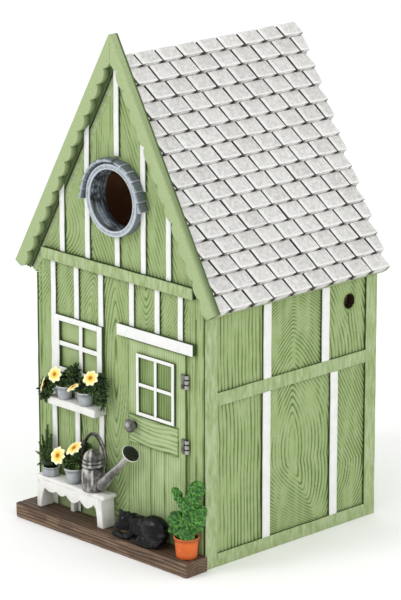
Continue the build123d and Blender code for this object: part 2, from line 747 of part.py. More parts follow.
def hinge_pin():
    reach = BARREL_X + BARREL_W / 2
    pin = rod_x(HINGE_Y, HINGE_Z, PIN_R, -reach, reach)
    for side in (-1, 1):
        pin += rod_x(HINGE_Y, HINGE_Z, PIN_R + 0.6, min(side * reach, side * (reach + 0.8)),
                     max(side * reach, side * (reach + 0.8)))
    return pin


def turn_button():
    """Wooden button, level at rest; a quarter turn brings it over the shut door."""
    y0 = BACK + BUTTON_LIFT
    y1 = y0 + BUTTON_T
    bar = block(-BUTTON_L / 2, BUTTON_L / 2, y0, y1, BUTTON_Z - BUTTON_W / 2, BUTTON_Z + BUTTON_W / 2)
    bar = fillet(bar.edges().filter_by(Axis.Y), BUTTON_W / 2 - 0.1)
    return bar - rod_y(0, BUTTON_Z, SCREW_R + PIN_CLEARANCE, y0 - 1, y1 + 1)


def round_head_screw(x, z, radius, head_r, head_t, y_face, length):
    """Screw along Y whose head bears on the plane y_face."""
    shank = rod_y(x, z, radius, y_face - length, y_face)
    return shank + rod_y(x, z, head_r, y_face, y_face + head_t)


def button_screw():
    face = BACK + BUTTON_LIFT + BUTTON_T + 0.3
    screw = round_head_screw(0, BUTTON_Z, SCREW_R, SCREW_HEAD_R, SCREW_HEAD_T, face,
                             face - BACK + WALL_T - 1)
    washer = rod_y(0, BUTTON_Z, SCREW_HEAD_R, BACK, BACK + BUTTON_LIFT - 0.1)
    return screw + washer


def hanger_screw_heights():
    return (HANGER_Z - HANGER_H / 2 + 5, HANGER_Z + HANGER_H / 2 + 1)


def hanger_plate():
    """Keyhole plate for a screw in the tree or wall behind."""
    plate = block(-HANGER_W / 2, HANGER_W / 2, BACK, BACK + HANGER_T,
                  HANGER_Z - HANGER_H / 2, HANGER_Z + HANGER_H / 2 + 6)
    plate = fillet(plate.edges().filter_by(Axis.Y), 3.0)
    plate -= rod_y(0, HANGER_Z, KEY_R, BACK - 1, BACK + HANGER_T + 1)
    plate -= block(-SLOT_R, SLOT_R, BACK - 1, BACK + HANGER_T + 1, HANGER_Z, HANGER_Z + SLOT_L)
    plate -= rod_y(0, HANGER_Z + SLOT_L, SLOT_R, BACK - 1, BACK + HANGER_T + 1)
    for z in hanger_screw_heights():
        plate -= rod_y(0, z, HANGER_SCREW_R, BACK - 1, BACK + HANGER_T + 1)
    return plate


def hanger_screws():
    face = BACK + HANGER_T
    return [round_head_screw(0, z, HANGER_SCREW_R, 2.6, 1.0, face, face - BACK + WALL_T - 1)
            for z in hanger_screw_heights()]


# ---- write every node --------------------------------------------------------------------------
os.makedirs("parts", exist_ok=True)
save("floor_plate", floor_plate())
save("front_wall", front_wall())
save("back_wall", back_wall())
save("left_wall", side_wall(-1))
save("right_wall", side_wall(1))
save("corner_posts", *corner_posts())
save("side_bottom_rails", *on_both_sides([side_rail(0, BOTTOM_RAIL_H)]))
save("side_mid_rails", *on_both_sides([side_rail(MID_RAIL_Z, MID_RAIL_H)]))
save("side_battens", *side_battens())
save("entrance_collar", entrance_collar())
save("entrance_hood", entrance_hood())
save("gable_beam", gable_beam())
save("gable_battens", *gable_battens())
save("front_battens", *front_battens())
save("front_step", front_step())
WINDOW_SIZE = (WINDOW_X, WINDOW_Z, WINDOW_STILE, WINDOW_RAIL)
save("window_frame", *bar_frame(*WINDOW_SIZE, FRONT - WINDOW_T, FRONT))
save("window_bars", *glazing_bars(*WINDOW_SIZE, MUNTIN_X, MUNTIN_Z, MUNTIN_W,
                                  FRONT - WINDOW_T + 0.4, FRONT - PANE_T))
save("window_panes", window_panes())
save("flower_shelf", flower_shelf())
save("shelf_pots", *shelf_pots())
save("shelf_plants", *shelf_plants())
save("shelf_flowers", *[head - shelf_plants()[0] - shelf_plants()[1] for head in shelf_flowers()])
save("front_door", door_leaf())
save("door_mid_rail", door_mid_rail())
save("door_sash", *door_sash())
save("door_glazing_bars", *door_glazing_bars())
save("door_lintel", door_lintel())
save("door_knob", door_knob())
save("door_straps", *door_straps())
save("bench_seat", bench_seat())
save("bench_ends", *bench_ends())
save("bench_apron", bench_apron())
save("bench_pot", bench_pot())
save("bench_plant", bench_plant())
save("bench_flowers", *[head - bench_plant() for head in bench_flowers()])
save("fern_pot", fern_pot())
save("fern", fern())
save("can_body", can_body())
save("can_handle", can_handle())
save("can_spout", can_spout())
save("sleeping_cat", sleeping_cat())
save("topiary_pot", topiary_pot())
save("topiary_plant", topiary_plant())
for word, side in (("left", -1), ("right", 1)):
    save(f"{word}_roof_slab", roof_slab(side))
    save(f"{word}_roof_tiles", *roof_tiles(side))
    save(f"{word}_bargeboard", bargeboard(side))
save("hatch_door", hatch_door())
save("hinge_wall_barrels", *hinge_wall_barrels())
save("hinge_door_leaf", hinge_door_leaf())
save("hinge_pin", hinge_pin())
save("turn_button", turn_button())
save("button_screw", button_screw())
save("hanger_plate", hanger_plate())
save("hanger_screws", *hanger_screws())
print("overall height", round(TOP_Z, 2))
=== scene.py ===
# %% [markdown]
# A cottage-shaped nest box, cast in resin and painted by hand.
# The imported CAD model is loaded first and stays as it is: it fixes every size and place.
# Each visible piece is then modelled again in finer detail inside the space its CAD node holds.

import math
import random

import bpy
import numpy as np
from mathutils import Matrix, Vector


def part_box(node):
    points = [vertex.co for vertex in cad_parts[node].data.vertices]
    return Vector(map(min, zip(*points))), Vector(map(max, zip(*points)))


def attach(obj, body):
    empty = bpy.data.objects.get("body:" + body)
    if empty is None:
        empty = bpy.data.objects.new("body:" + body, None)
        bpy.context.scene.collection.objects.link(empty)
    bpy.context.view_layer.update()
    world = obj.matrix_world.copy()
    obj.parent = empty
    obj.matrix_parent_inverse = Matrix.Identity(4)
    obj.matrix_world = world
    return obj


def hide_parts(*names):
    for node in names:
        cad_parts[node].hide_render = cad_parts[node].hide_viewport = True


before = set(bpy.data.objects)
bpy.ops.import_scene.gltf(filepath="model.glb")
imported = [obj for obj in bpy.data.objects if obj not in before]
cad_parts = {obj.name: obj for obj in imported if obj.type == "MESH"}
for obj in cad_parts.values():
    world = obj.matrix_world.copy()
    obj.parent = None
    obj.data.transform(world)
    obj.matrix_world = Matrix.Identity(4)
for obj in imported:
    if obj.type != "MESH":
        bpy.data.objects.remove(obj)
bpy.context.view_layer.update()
MM = 0.001

# %% [markdown]
# The driving places come from the CAD nodes' boxes, so nothing is measured twice.
# y_front is the face of the front wall, and everything on the cottage front stands out of it.

# %% Places read from the frame
wall_low, wall_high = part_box("front_wall")
post_low, post_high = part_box("corner_posts")
side_low, side_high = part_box("right_wall")
y_front = wall_low.y
panel_x = wall_high.x
post_x = post_high.x
eave_z = post_high.z
ridge_z = wall_high.z
pitch = math.atan2(ridge_z - eave_z, post_x)
ring_low, ring_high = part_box("entrance_collar")
entrance_z = (ring_low.z + ring_high.z) / 2
print("pitch", round(math.degrees(pitch), 2), "ridge", round(ridge_z / MM, 1))

# %% [markdown]
# The camera is a long lens far off, to the right of the front and a little above it, because a long
# lens keeps upright edges upright. The floor is plain and pale.
# A large soft light from the upper left lets the carved grain and the battens cast short shadows.

# %% Camera, floor and light
CAMERA_AZIMUTH = math.radians(45.74)
CAMERA_ELEVATION = math.radians(15.64)
CAMERA_DISTANCE = 1.7583
aim = Vector((0, y_front + 0.065, 0.130))
look = Vector((-math.sin(CAMERA_AZIMUTH) * math.cos(CAMERA_ELEVATION),
               math.cos(CAMERA_AZIMUTH) * math.cos(CAMERA_ELEVATION),
               -math.sin(CAMERA_ELEVATION)))
bpy.ops.object.camera_add(location=aim - look * CAMERA_DISTANCE)
camera = bpy.context.object
camera.rotation_euler = look.to_track_quat("-Z", "Y").to_euler()
camera.data.sensor_width = 36
camera.data.lens = 200.7
camera.data.shift_x = -0.0155
camera.data.shift_y = -0.038
camera.data.clip_start = 0.1
bpy.context.scene.camera = camera

bpy.ops.mesh.primitive_plane_add(size=12)
floor = bpy.context.object
floor.name = "floor"
floor.data.materials.append(bpy.data.materials.new("white_paper_sweep"))


def soft_light(name, place, size, watts):
    """Square area light that looks at the middle of the house."""
    bpy.ops.object.light_add(type="AREA", location=place)
    lamp = bpy.context.object
    lamp.name = name
    lamp.data.size = size
    lamp.data.energy = watts
    lamp.rotation_euler = (aim - lamp.location).to_track_quat("-Z", "Y").to_euler()
    return lamp


soft_light("key_light", (-0.5, -1.3, 1.1), 0.5, 6.5)
soft_light("fill_light", (1.6, -0.4, 0.9), 0.8, 4.5)
world = bpy.data.worlds.new("studio")
bpy.context.scene.world = world
world.use_nodes = True
world.node_tree.nodes["Background"].inputs["Color"].default_value = (1, 1, 1, 1)
world.node_tree.nodes["Background"].inputs["Strength"].default_value = 0.98
bpy.context.scene.view_settings.view_transform = "Standard"

# %% [markdown]
# Paint colours are kept as sRGB hex values, the way a paint chart gives them.
# The shader works in linear light, so one function turns them.
# A second small function adds a shader node, with its settings and its links.

# %% Colour and node helpers


def paint(hex_value):
    """sRGB hex text to a linear RGBA colour."""
    parts = [int(hex_value[i:i + 2], 16) / 255 for i in (1, 3, 5)]
    return [c / 12.92 if c <= 0.04045 else ((c + 0.055) / 1.055) ** 2.4 for c in parts] + [1.0]


def node(tree, kind, settings=None, **inputs):
    """Adds a shader node. A socket given as an input is linked, and anything else is set."""
    made = tree.nodes.new(kind)
    for name, value in (settings or {}).items():
        setattr(made, name, value)
    for name, value in inputs.items():
        socket = made.inputs[name.replace("_", " ")]
        if isinstance(value, bpy.types.NodeSocket):
            tree.links.new(value, socket)
        else:
            socket.default_value = value
    return made


def ramp(tree, factor, *stops):
    """Colour ramp from (place, colour) pairs."""
    made = node(tree, "ShaderNodeValToRGB", Fac=factor)
    elements = made.color_ramp.elements
    while len(elements) < len(stops):
        elements.new(0.5)
    for element, (place, colour) in zip(elements, stops):
        element.position = place
        element.color = colour
    return made.outputs["Color"]


def mix(tree, factor, first, second):
    """Mixes two colours; each may be a socket or a fixed colour."""
    return node(tree, "ShaderNodeMixRGB", Fac=factor, Color1=first, Color2=second).outputs["Color"]


# %% [markdown]
# Almost every surface here is cast polyresin under acrylic paint. Resin takes fine carved detail
# and the paint is applied in three passes: a base coat, a dark wash that settles in the recesses,
# and a dry brush that catches raised edges. Painted resin is a matt dielectric with an IOR near 1.5.
# One function makes that finish, and each colour of the house is a call of it.
# Wash and brush follow one vertex attribute, "wash", that the modelling writes: 1 is full of dark wash, -1 is
# rubbed with the light edge colour, and where a piece has none it is 0. Several pieces also write painted
# shade and painted shadows into it (towards 1) and painted highlights (towards -1).

# %% Painted resin


def painted_resin(name, base, light, dark, mottle=6.0, roughness=0.72, grit=0.25, stretch=(1, 1, 1),
                  mottle_share=0.5, edge="#F4F4F2", shine=0.35):
    """Acrylic on cast resin. mottle is the size of the tone patches in millimetres."""
    material = bpy.data.materials.new(name)
    material.use_nodes = True
    tree = material.node_tree
    shader = tree.nodes["Principled BSDF"]
    place = node(tree, "ShaderNodeTexCoord").outputs["Object"]
    place = node(tree, "ShaderNodeMapping", Vector=place, Scale=stretch).outputs["Vector"]
    patches = node(tree, "ShaderNodeTexNoise", Vector=place, Scale=1 / (mottle * MM), Detail=4.0,
                   Roughness=0.6).outputs["Fac"]
    brushed = ramp(tree, patches, (0.5 - mottle_share / 2, paint(base)),
                   (0.5 + mottle_share / 2, paint(light)))
    wash = node(tree, "ShaderNodeAttribute", {"attribute_name": "wash"}).outputs["Fac"]
    # Negative values mix in the light edge colour: dry brush on some pieces, painted highlights on others.
    rubbed = node(tree, "ShaderNodeMath", {"operation": "MULTIPLY", "use_clamp": True})
    rubbed.inputs[1].default_value = -1.0
    tree.links.new(wash, rubbed.inputs[0])
    colour = mix(tree, rubbed.outputs["Value"], brushed, paint(edge))
    colour = mix(tree, wash, colour, paint(dark))
    tree.links.new(colour, shader.inputs["Base Color"])
    grain = node(tree, "ShaderNodeTexNoise", Vector=place, Scale=1 / (0.9 * MM), Detail=3.0)
    bump = node(tree, "ShaderNodeBump", Strength=grit, Distance=0.25 * MM,
                Height=grain.outputs["Fac"])
    tree.links.new(bump.outputs["Normal"], shader.inputs["Normal"])
    shader.inputs["Roughness"].default_value = roughness
    shader.inputs["IOR"].default_value = 1.5
    shader.inputs["Specular IOR Level"].default_value = shine
    return material


sage_panel = painted_resin("sage_acrylic_on_carved_resin", "#8EA368", "#9FB07F", "#4F6829", mottle=7.0,
                           edge="#BCC9A4")
sage_trim = painted_resin("sage_acrylic_on_upright_timber", "#889B63", "#AAB98F", "#31441D",
                          mottle=1.7, stretch=(1, 1, 0.22), edge="#B6C59C", mottle_share=0.3)
sage_rail = painted_resin("sage_acrylic_on_level_timber", "#889B63", "#AAB98F", "#3C5222",
                          mottle=1.3, stretch=(0.3, 0.22, 1), edge="#B6C59C", mottle_share=0.5)
sage_board = painted_resin("sage_acrylic_on_sawn_board", "#91A36F", "#A9B88D", "#3C5222",
                           mottle=1.1, edge="#B6C59C", mottle_share=0.6)
white_paint = painted_resin("off_white_acrylic_on_resin", "#DCDDDA", "#E9EAE7", "#3C4B29",
                            mottle=5.0, grit=0.15)
bench_white = painted_resin("grey_white_acrylic_on_resin", "#D9D8D3", "#EAE9E5", "#7E7F77",
                            mottle=5.0, grit=0.2)
pewter_paint = painted_resin("pewter_paint_on_resin", "#868F97", "#A9B2B9", "#25292B", mottle=1.6,
                             roughness=0.5, grit=0.6, edge="#C6CDD2", mottle_share=0.3)
old_pewter = painted_resin("aged_pewter_paint_on_resin", "#33312F", "#7C7A75", "#0E0E0D",
                           mottle=2.2, roughness=0.3, grit=0.5, mottle_share=0.3, edge="#DAD8D2")
pot_grey = painted_resin("zinc_grey_paint_on_resin", "#8F959A", "#B4B8BA", "#4A4F52", mottle=3.0,
                         roughness=0.55)
terracotta = painted_resin("terracotta_paint_on_resin", "#C55719", "#DA6C2A", "#7A3014", mottle=4.0,
                           roughness=0.45, edge="#EE9159")
step_brown = painted_resin("brown_stain_on_carved_resin", "#5A4331", "#75604D", "#1A120D",
                           mottle=3.0, stretch=(0.15, 1, 1), roughness=0.6, grit=0.5, edge="#93785F")
tile_paint = painted_resin("dry_brushed_white_on_grey_tile", "#BDBCB9", "#E6E5E2", "#4A443E",
                           mottle=1.9, roughness=0.85, grit=0.5, mottle_share=0.45)
felt_dark = painted_resin("dark_wash_between_tiles", "#655E57", "#736B64", "#3A3531")
leaf_dark = painted_resin("dark_green_paint_on_leaves", "#1D3314", "#3F5E28", "#0A1407",
                          mottle=2.0, roughness=0.55, edge="#84A058")
leaf_bright = painted_resin("bright_green_paint_on_little_tree", "#24591B", "#437F28", "#0D2A0C",
                            mottle=1.6, roughness=0.5, mottle_share=0.4, edge="#6CAA42")
# This brown is lighter than the bare resin is, as painted light: it stands in for light that reaches inside
# the nest.
inside_brown = painted_resin("bare_brown_resin", "#CF9560", "#DDA976", "#2E1D10", mottle=8.0)

paper = bpy.data.materials["white_paper_sweep"]
paper.use_nodes = True
paper_shader = paper.node_tree.nodes["Principled BSDF"]
fibre = node(paper.node_tree, "ShaderNodeTexNoise", Scale=1 / (40 * MM), Detail=2.0)
paper_tone = ramp(paper.node_tree, fibre.outputs["Fac"], (0.3, paint("#FBFBFB")), (0.7, paint("#FFFFFF")))
paper.node_tree.links.new(paper_tone, paper_shader.inputs["Base Color"])
paper_shader.inputs["Roughness"].default_value = 0.95
paper_shader.inputs["Specular IOR Level"].default_value = 0.0
print("materials", len(bpy.data.materials))

# %% [markdown]
# Short helpers for working as by hand: start with nothing selected, go into edit mode,
# pick vertices or faces by where they are, and put a finished object back at the origin.

# %% Modelling helpers


def only(obj):
    """Makes obj the one selected, active object."""
    if bpy.context.object and bpy.context.object.mode != "OBJECT":
        bpy.ops.object.mode_set(mode="OBJECT")
    bpy.ops.object.select_all(action="DESELECT")
    obj.select_set(True)
    bpy.context.view_layer.objects.active = obj
    return obj


def pick(obj, test, what="vertices"):
    """Leaves obj in edit mode with only the vertices, edges or polygons that pass the test selected."""
    only(obj)
    mode = {"vertices": "VERT", "edges": "EDGE", "polygons": "FACE"}[what]
    bpy.ops.object.mode_set(mode="EDIT")
    bpy.ops.mesh.select_mode(type=mode)
    bpy.ops.mesh.select_all(action="DESELECT")
    bpy.ops.object.mode_set(mode="OBJECT")
    for element in getattr(obj.data, what):
        element.select = bool(test(element))
    bpy.ops.object.mode_set(mode="EDIT")


def done():
    bpy.ops.object.mode_set(mode="OBJECT")


def points(obj):
    """Vertex places as an array."""
    co = np.empty(len(obj.data.vertices) * 3)
    obj.data.vertices.foreach_get("co", co)
    return co.reshape(-1, 3)


def move_to(obj, co):
    obj.data.vertices.foreach_set("co", np.asarray(co, float).ravel())
    obj.data.update()


def settle(obj, name, material, smooth=None):
    """Names a finished piece, gives it its material and puts its place into its mesh."""
    only(obj)
    bpy.ops.object.transform_apply(location=True, rotation=True, scale=True)
    obj.name = name
    obj.data.materials.clear()
    obj.data.materials.append(material)
    if smooth is not None:
        bpy.ops.object.shade_smooth_by_angle(angle=math.radians(smooth))
    return obj


def join(parts, name):
    """Joins several objects into one piece."""
    only(parts[0])
    for part in parts:
        part.select_set(True)
    bpy.ops.object.join()
    parts[0].name = name
    return parts[0]


# Writes the attribute that the paint reads: dark wash and dry brush, and on some pieces painted shade,
# painted shadow and painted highlights.
def write_wash_and_painted_light(piece, wash):
    marks = piece.data.attributes.get("wash") or piece.data.attributes.new("wash", "FLOAT", "POINT")
    marks.data.foreach_set("value", np.clip(wash, -1, 1).astype(np.float32))


def apply_modifier(obj, kind, **settings):
    """Adds a modifier with its settings and applies it."""
    only(obj)
    modifier = obj.modifiers.new(kind.lower(), kind)
    for key, value in settings.items():
        setattr(modifier, key, value)
    bpy.ops.object.modifier_apply(modifier=modifier.name)
    return obj


def fit(piece, slot, *nodes, body="house"):
    """Says which body a piece moves with and which CAD nodes it stands for; slot, the finish, is not used."""
    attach(piece, body)
    if nodes:
        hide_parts(*nodes)
    print(piece.name, len(piece.data.polygons), "faces")
    return piece


def noise(u, v, size_u, size_v, seed):
    """Smooth noise from -1 to 1 over two coordinates, with patches of the given sizes."""
    lattice = np.random.default_rng(seed).uniform(-1, 1, (64, 64))
    x, y = np.asarray(u) / size_u, np.asarray(v) / size_v
    i, j = np.floor(x).astype(int), np.floor(y).astype(int)
    fx, fy = x - i, y - j
    fx, fy = fx * fx * (3 - 2 * fx), fy * fy * (3 - 2 * fy)
    i, j, i1, j1 = i % 64, j % 64, (i + 1) % 64, (j + 1) % 64
    low = lattice[i, j] * (1 - fx) + lattice[i1, j] * fx
    high = lattice[i, j1] * (1 - fx) + lattice[i1, j1] * fx
    return low * (1 - fy) + high * fy


# %% [markdown]
# The CAD model already knows where each batten, rail and post is. A node that holds several bars
# is read as separate solids: corners that share a place belong together, and the lowest label
# spreads along the edges until each solid has one.

# %% Boxes of the separate solids in a CAD node


def area(name):
    """Lowest and highest corners of a node in millimetres."""
    low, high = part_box(name)
    return np.array(low) / MM, np.array(high) / MM


def solids(name):
    """Lowest and highest corners, in millimetres, of each solid in a CAD node."""
    mesh = bpy.data.objects[name].data
    places, where = np.unique(np.round(points(bpy.data.objects[name]), 6), axis=0, return_inverse=True)
    ends = np.empty(len(mesh.edges) * 2, dtype=int)
    mesh.edges.foreach_get("vertices", ends)
    ends = where.ravel()[ends.reshape(-1, 2)]
    label = np.arange(len(places))
    while True:
        lowest = np.minimum(label[ends[:, 0]], label[ends[:, 1]])
        spread = label.copy()
        np.minimum.at(spread, ends[:, 0], lowest)
        np.minimum.at(spread, ends[:, 1], lowest)
        spread = spread[spread]
        if (spread == label).all():
            break
        label = spread
    return [(places[label == k].min(axis=0) / MM, places[label == k].max(axis=0) / MM)
            for k in np.unique(label)]


print("front battens", len(solids("front_battens")))

# %% [markdown]
# The walls show planks with deep carved grain. The real moulds are sculpted, so the grain is relief,
# and it is made as relief here: a fine grid of faces whose points are pushed in along grain lines.
# Sculpting by hand or a bump texture would be other ways. A bump has no depth at the edges, and
# hand strokes can't be repeated, so a formula draws the strokes: grain lines are the level lines
# of a height map, as real grain is the level lines of a cut tree. A knot is a hill in that map.

# %% Carved grain
GRAIN_PITCH = 2.5        # mm between grooves
GROOVE_DEPTH = 0.5       # mm
PLANK_GROOVE_DEPTH = 0.9


def strokes(phase, width):
    """1 on a level line of phase and 0 away from it."""
    away = np.abs(phase - np.round(phase))
    return np.clip(1 - away / width, 0, 1) ** 1.2


def grain(rise, u, v, seed, wave=1.0, pitch_mm=GRAIN_PITCH, width=0.36):
    """Groove depth, 0 to 1. rise is the distance across the grain, in millimetres."""
    rise = rise / pitch_mm + wave * (0.16 * noise(u, v, 4, 11, seed) + 0.30 * noise(u, v, 12, 34, seed + 1))
    ends = np.clip(0.82 + 0.45 * noise(u, v, 2.6, 13, seed + 2), 0.3, 1)
    return strokes(rise, width) * ends


def lens(u, v, axis, middle, up, down):
    """Nested eyes about an axis, as round a knot; up and down are the bends' radii, in millimetres."""
    rise = v - middle
    return np.sqrt((u - axis) ** 2 + 1.2) + rise ** 2 / (2 * np.where(rise > 0, up, down))


def beside(u, v, nodes, axes, origin):
    """Dark wash, 0 to 1, that gathers on a wall beside the bars of some CAD nodes."""
    nearest = np.full(np.shape(u), 99.0)
    for low, high in [box for node_name in nodes for box in solids(node_name)]:
        low_u, high_u = sorted((low[axes[0]] * axes[2] - origin[0], high[axes[0]] * axes[2] - origin[0]))
        away_u = np.maximum(low_u - u, u - high_u)
        away_v = np.maximum(low[axes[1]] - origin[1] - v, v - high[axes[1]] + origin[1])
        nearest = np.minimum(nearest, np.hypot(np.maximum(away_u, 0), np.maximum(away_v, 0)))
    return np.exp(-nearest / 0.8)


def relief(name, corner, across, up, size_u, size_v, step, carve, thickness, material,
           cuts=(), holes=(), opening=None):
    """Panel with a carved face. carve(u, v) gives depth in millimetres and the wash, -1 to 1.
    cuts are planes (point, normal) that trim it, holes are (u, v, radius) round holes, and opening
    is one square hole (u0, u1, v0, v1). The far side and the holes are bare resin."""
    across, up = Vector(across), Vector(up)
    out = across.cross(up)
    count_u, count_v = round(size_u / step), round(size_v / step)
    bpy.ops.object.select_all(action="DESELECT")
    bpy.ops.mesh.primitive_grid_add(x_subdivisions=count_u, y_subdivisions=count_v, size=1)
    panel = bpy.context.object
    co = points(panel)
    u, v = (co[:, 0] + 0.5) * size_u, (co[:, 1] + 0.5) * size_v
    for hole_u, hole_v, radius in holes:
        pick(panel, lambda face: math.hypot((face.center.x + 0.5) * size_u - hole_u,
                                            (face.center.y + 0.5) * size_v - hole_v) < radius, "polygons")
        bpy.ops.mesh.delete(type="FACE")
        done()
        co = points(panel)
        u, v = (co[:, 0] + 0.5) * size_u, (co[:, 1] + 0.5) * size_v
        away = np.hypot(u - hole_u, v - hole_v)
        near = away < radius + step * 0.8
        scale = np.where(near, radius / np.maximum(away, 1e-9), 1.0)
        u, v = hole_u + (u - hole_u) * scale, hole_v + (v - hole_v) * scale
    if opening:
        pick(panel, lambda face: opening[0] < (face.center.x + 0.5) * size_u < opening[1]
             and opening[2] < (face.center.y + 0.5) * size_v < opening[3], "polygons")
        bpy.ops.mesh.delete(type="FACE")
        done()
        co = points(panel)
        u, v = (co[:, 0] + 0.5) * size_u, (co[:, 1] + 0.5) * size_v
        near = step * 0.51
        beside_u = (v > opening[2] - near) & (v < opening[3] + near)
        beside_v = (u > opening[0] - near) & (u < opening[1] + near)
        for side in (0, 1):
            u = np.where(beside_u & (np.abs(u - opening[side]) < near), opening[side], u)
            v = np.where(beside_v & (np.abs(v - opening[2 + side]) < near), opening[2 + side], v)
    depth, wash = carve(u, v)
    for hole_u, hole_v, radius in holes:
        wash = np.maximum(wash, np.exp(-np.abs(np.hypot(u - hole_u, v - hole_v) - radius) / 0.5))
    base = np.array(corner) / MM
    flat = base + np.outer(u, across) + np.outer(v, up)
    move_to(panel, (flat - np.outer(depth, out)) * MM)
    write_wash_and_painted_light(panel, wash)
    for point, normal in cuts:
        only(panel)
        bpy.ops.object.mode_set(mode="EDIT")
        bpy.ops.mesh.select_all(action="SELECT")
        bpy.ops.mesh.bisect(plane_co=point, plane_no=normal, clear_outer=True)
        done()
    only(panel)
    bpy.ops.object.mode_set(mode="EDIT")
    bpy.ops.mesh.select_all(action="SELECT")
    bpy.ops.mesh.region_to_loop()
    bpy.ops.mesh.extrude_region_move(TRANSFORM_OT_translate={"value": -out * thickness * MM})
    bpy.ops.mesh.fill(use_beauty=False)
    done()
    co = points(panel)
    height = co @ np.array(out)
    plane = float(np.dot(base * MM, np.array(out))) - thickness * MM
    behind = height < plane + 0.1 * MM
    co[behind] -= np.outer(height[behind] - plane, out)
    move_to(panel, co)
    settle(panel, name, material, smooth=40)
    panel.data.materials.append(inside_brown)
    for face in panel.data.polygons:
        along_out = face.normal @ out
        spot = np.array(face.center) / MM - base
        from_holes = [math.hypot(spot @ np.array(across) - hole[0], spot @ np.array(up) - hole[1]) - hole[2]
                      for hole in holes]
        in_hole = abs(along_out) < 0.3 and any(gap < 0.3 for gap in from_holes)
        if along_out < -0.9 or in_hole:
            face.material_index = 1
    return panel


# %% [markdown]
# The right wall's panels lie behind the posts and rails. Each bay is its own plank:
# straight grain at the front, a big knot with a cathedral pattern in the middle, sweeping
# diagonal grain at the back. The left wall is carved as its mirror image.

# %% Side walls
WALL_STEP = 0.45         # mm between grid points
FRONT_FACE = y_front / MM
MID_RAIL_Z = 89.5        # the level rail parts the lower bays from the upper ones
FIRST_BAY_END = 44       # mm behind the front wall's face
LAST_BAY_LOW, LAST_BAY_HIGH = 93.8, 87.0
SIDE_BARS = ["side_battens", "side_mid_rails", "side_bottom_rails", "corner_posts"]


def side_carving(u, v):
    """u is the distance from the front wall's face and v the height."""
    lower = v < MID_RAIL_Z
    first = u < FIRST_BAY_END
    last = np.where(lower, u > LAST_BAY_LOW, u > LAST_BAY_HIGH)
    straight = grain(u + 0.02 * v, u, v, 11)
    seam = 64 + 0.53 * np.clip(42 - v, 0, 40)
    knot = grain(lens(u, v, seam, 50, 44, 34), u, v, 23, wave=0.8)
    fan = grain(lens(u, v, 64, 62, 46, 46), u, v, 31)
    lean = 0.55 * np.clip(v - 34, 0, 99) + np.clip(34 - v, 0, 99) ** 2 / 60
    sweep = grain(u - 94 + lean, u, v, 47, pitch_mm=2.1)
    round_vent = 3.0 * np.exp(-((u - 106) / 7) ** 2 - ((v - 121) / 9) ** 2) * np.sign(u - 105)
    upper_sweep = grain(u + 0.10 * v + (v - 93) ** 2 / 160 - round_vent, u, v, 53)
    groove = np.where(first, straight, np.where(last, np.where(lower, sweep, upper_sweep),
                                                np.where(lower, knot, fan)))
    depth = 0.05 + GROOVE_DEPTH * groove
    corners = beside(u + FRONT_FACE, v, SIDE_BARS, (1, 2, 1), (0, 0))
    return depth, groove * 2.7 + 0.8 * corners + 0.35 * noise(u, v, 5, 9, 5) - 0.95


side_size_u = (side_high.y - side_low.y) / MM
side_size_v = (side_high.z - side_low.z) / MM
vent_z = side_high.z / MM - 11.3
VENT_FROM_FRONT = 106.0
VENT_R = 4.0
u_start = side_low.y / MM - FRONT_FACE
vent = (VENT_FROM_FRONT - u_start, vent_z, VENT_R)
right_wall = relief("right_wall_planks", (side_high.x, side_low.y, 0), (0, 1, 0), (0, 0, 1),
                    side_size_u, side_size_v, WALL_STEP,
                    lambda u, v: side_carving(u + u_start, v), 5.0, sage_panel, holes=[vent])
fit(right_wall, "green_wall", "right_wall")
left_wall = relief("left_wall_planks", (-side_high.x, side_high.y, 0), (0, -1, 0), (0, 0, 1),
                   side_size_u, side_size_v, WALL_STEP,
                   lambda u, v: side_carving(side_size_u - u + u_start, v), 5.0, sage_panel,
                   holes=[(side_size_u - vent[0], vent_z, VENT_R)])
fit(left_wall, "green_wall", "left_wall")

# %% [markdown]
# The front is one carved panel from the step to the ridge. Its planks change pattern between the
# battens, and the plank beside the door has long grooves. The two slopes are cut with bisect planes
# and the entrance is a round hole under the collar's rim.

# %% Front wall
FRONT_STEP = 0.52        # mm between grid points
ENTRANCE_CUT_R = 18.3    # mm, a little wider than the collar's tube
front_size_u = 2 * panel_x / MM
front_size_v = ridge_z / MM
FRONT_BARS = ["front_battens", "gable_battens", "gable_beam", "window_frame", "door_lintel",
              "flower_shelf", "front_door"]
# joints between planks as (x, lowest z, highest z)
FRONT_SEAMS = [(7.2, 8, 113), (51.4, 8, 113), (62.0, 0, 143), (-60.5, 8, 143), (56.5, 20, 132)]


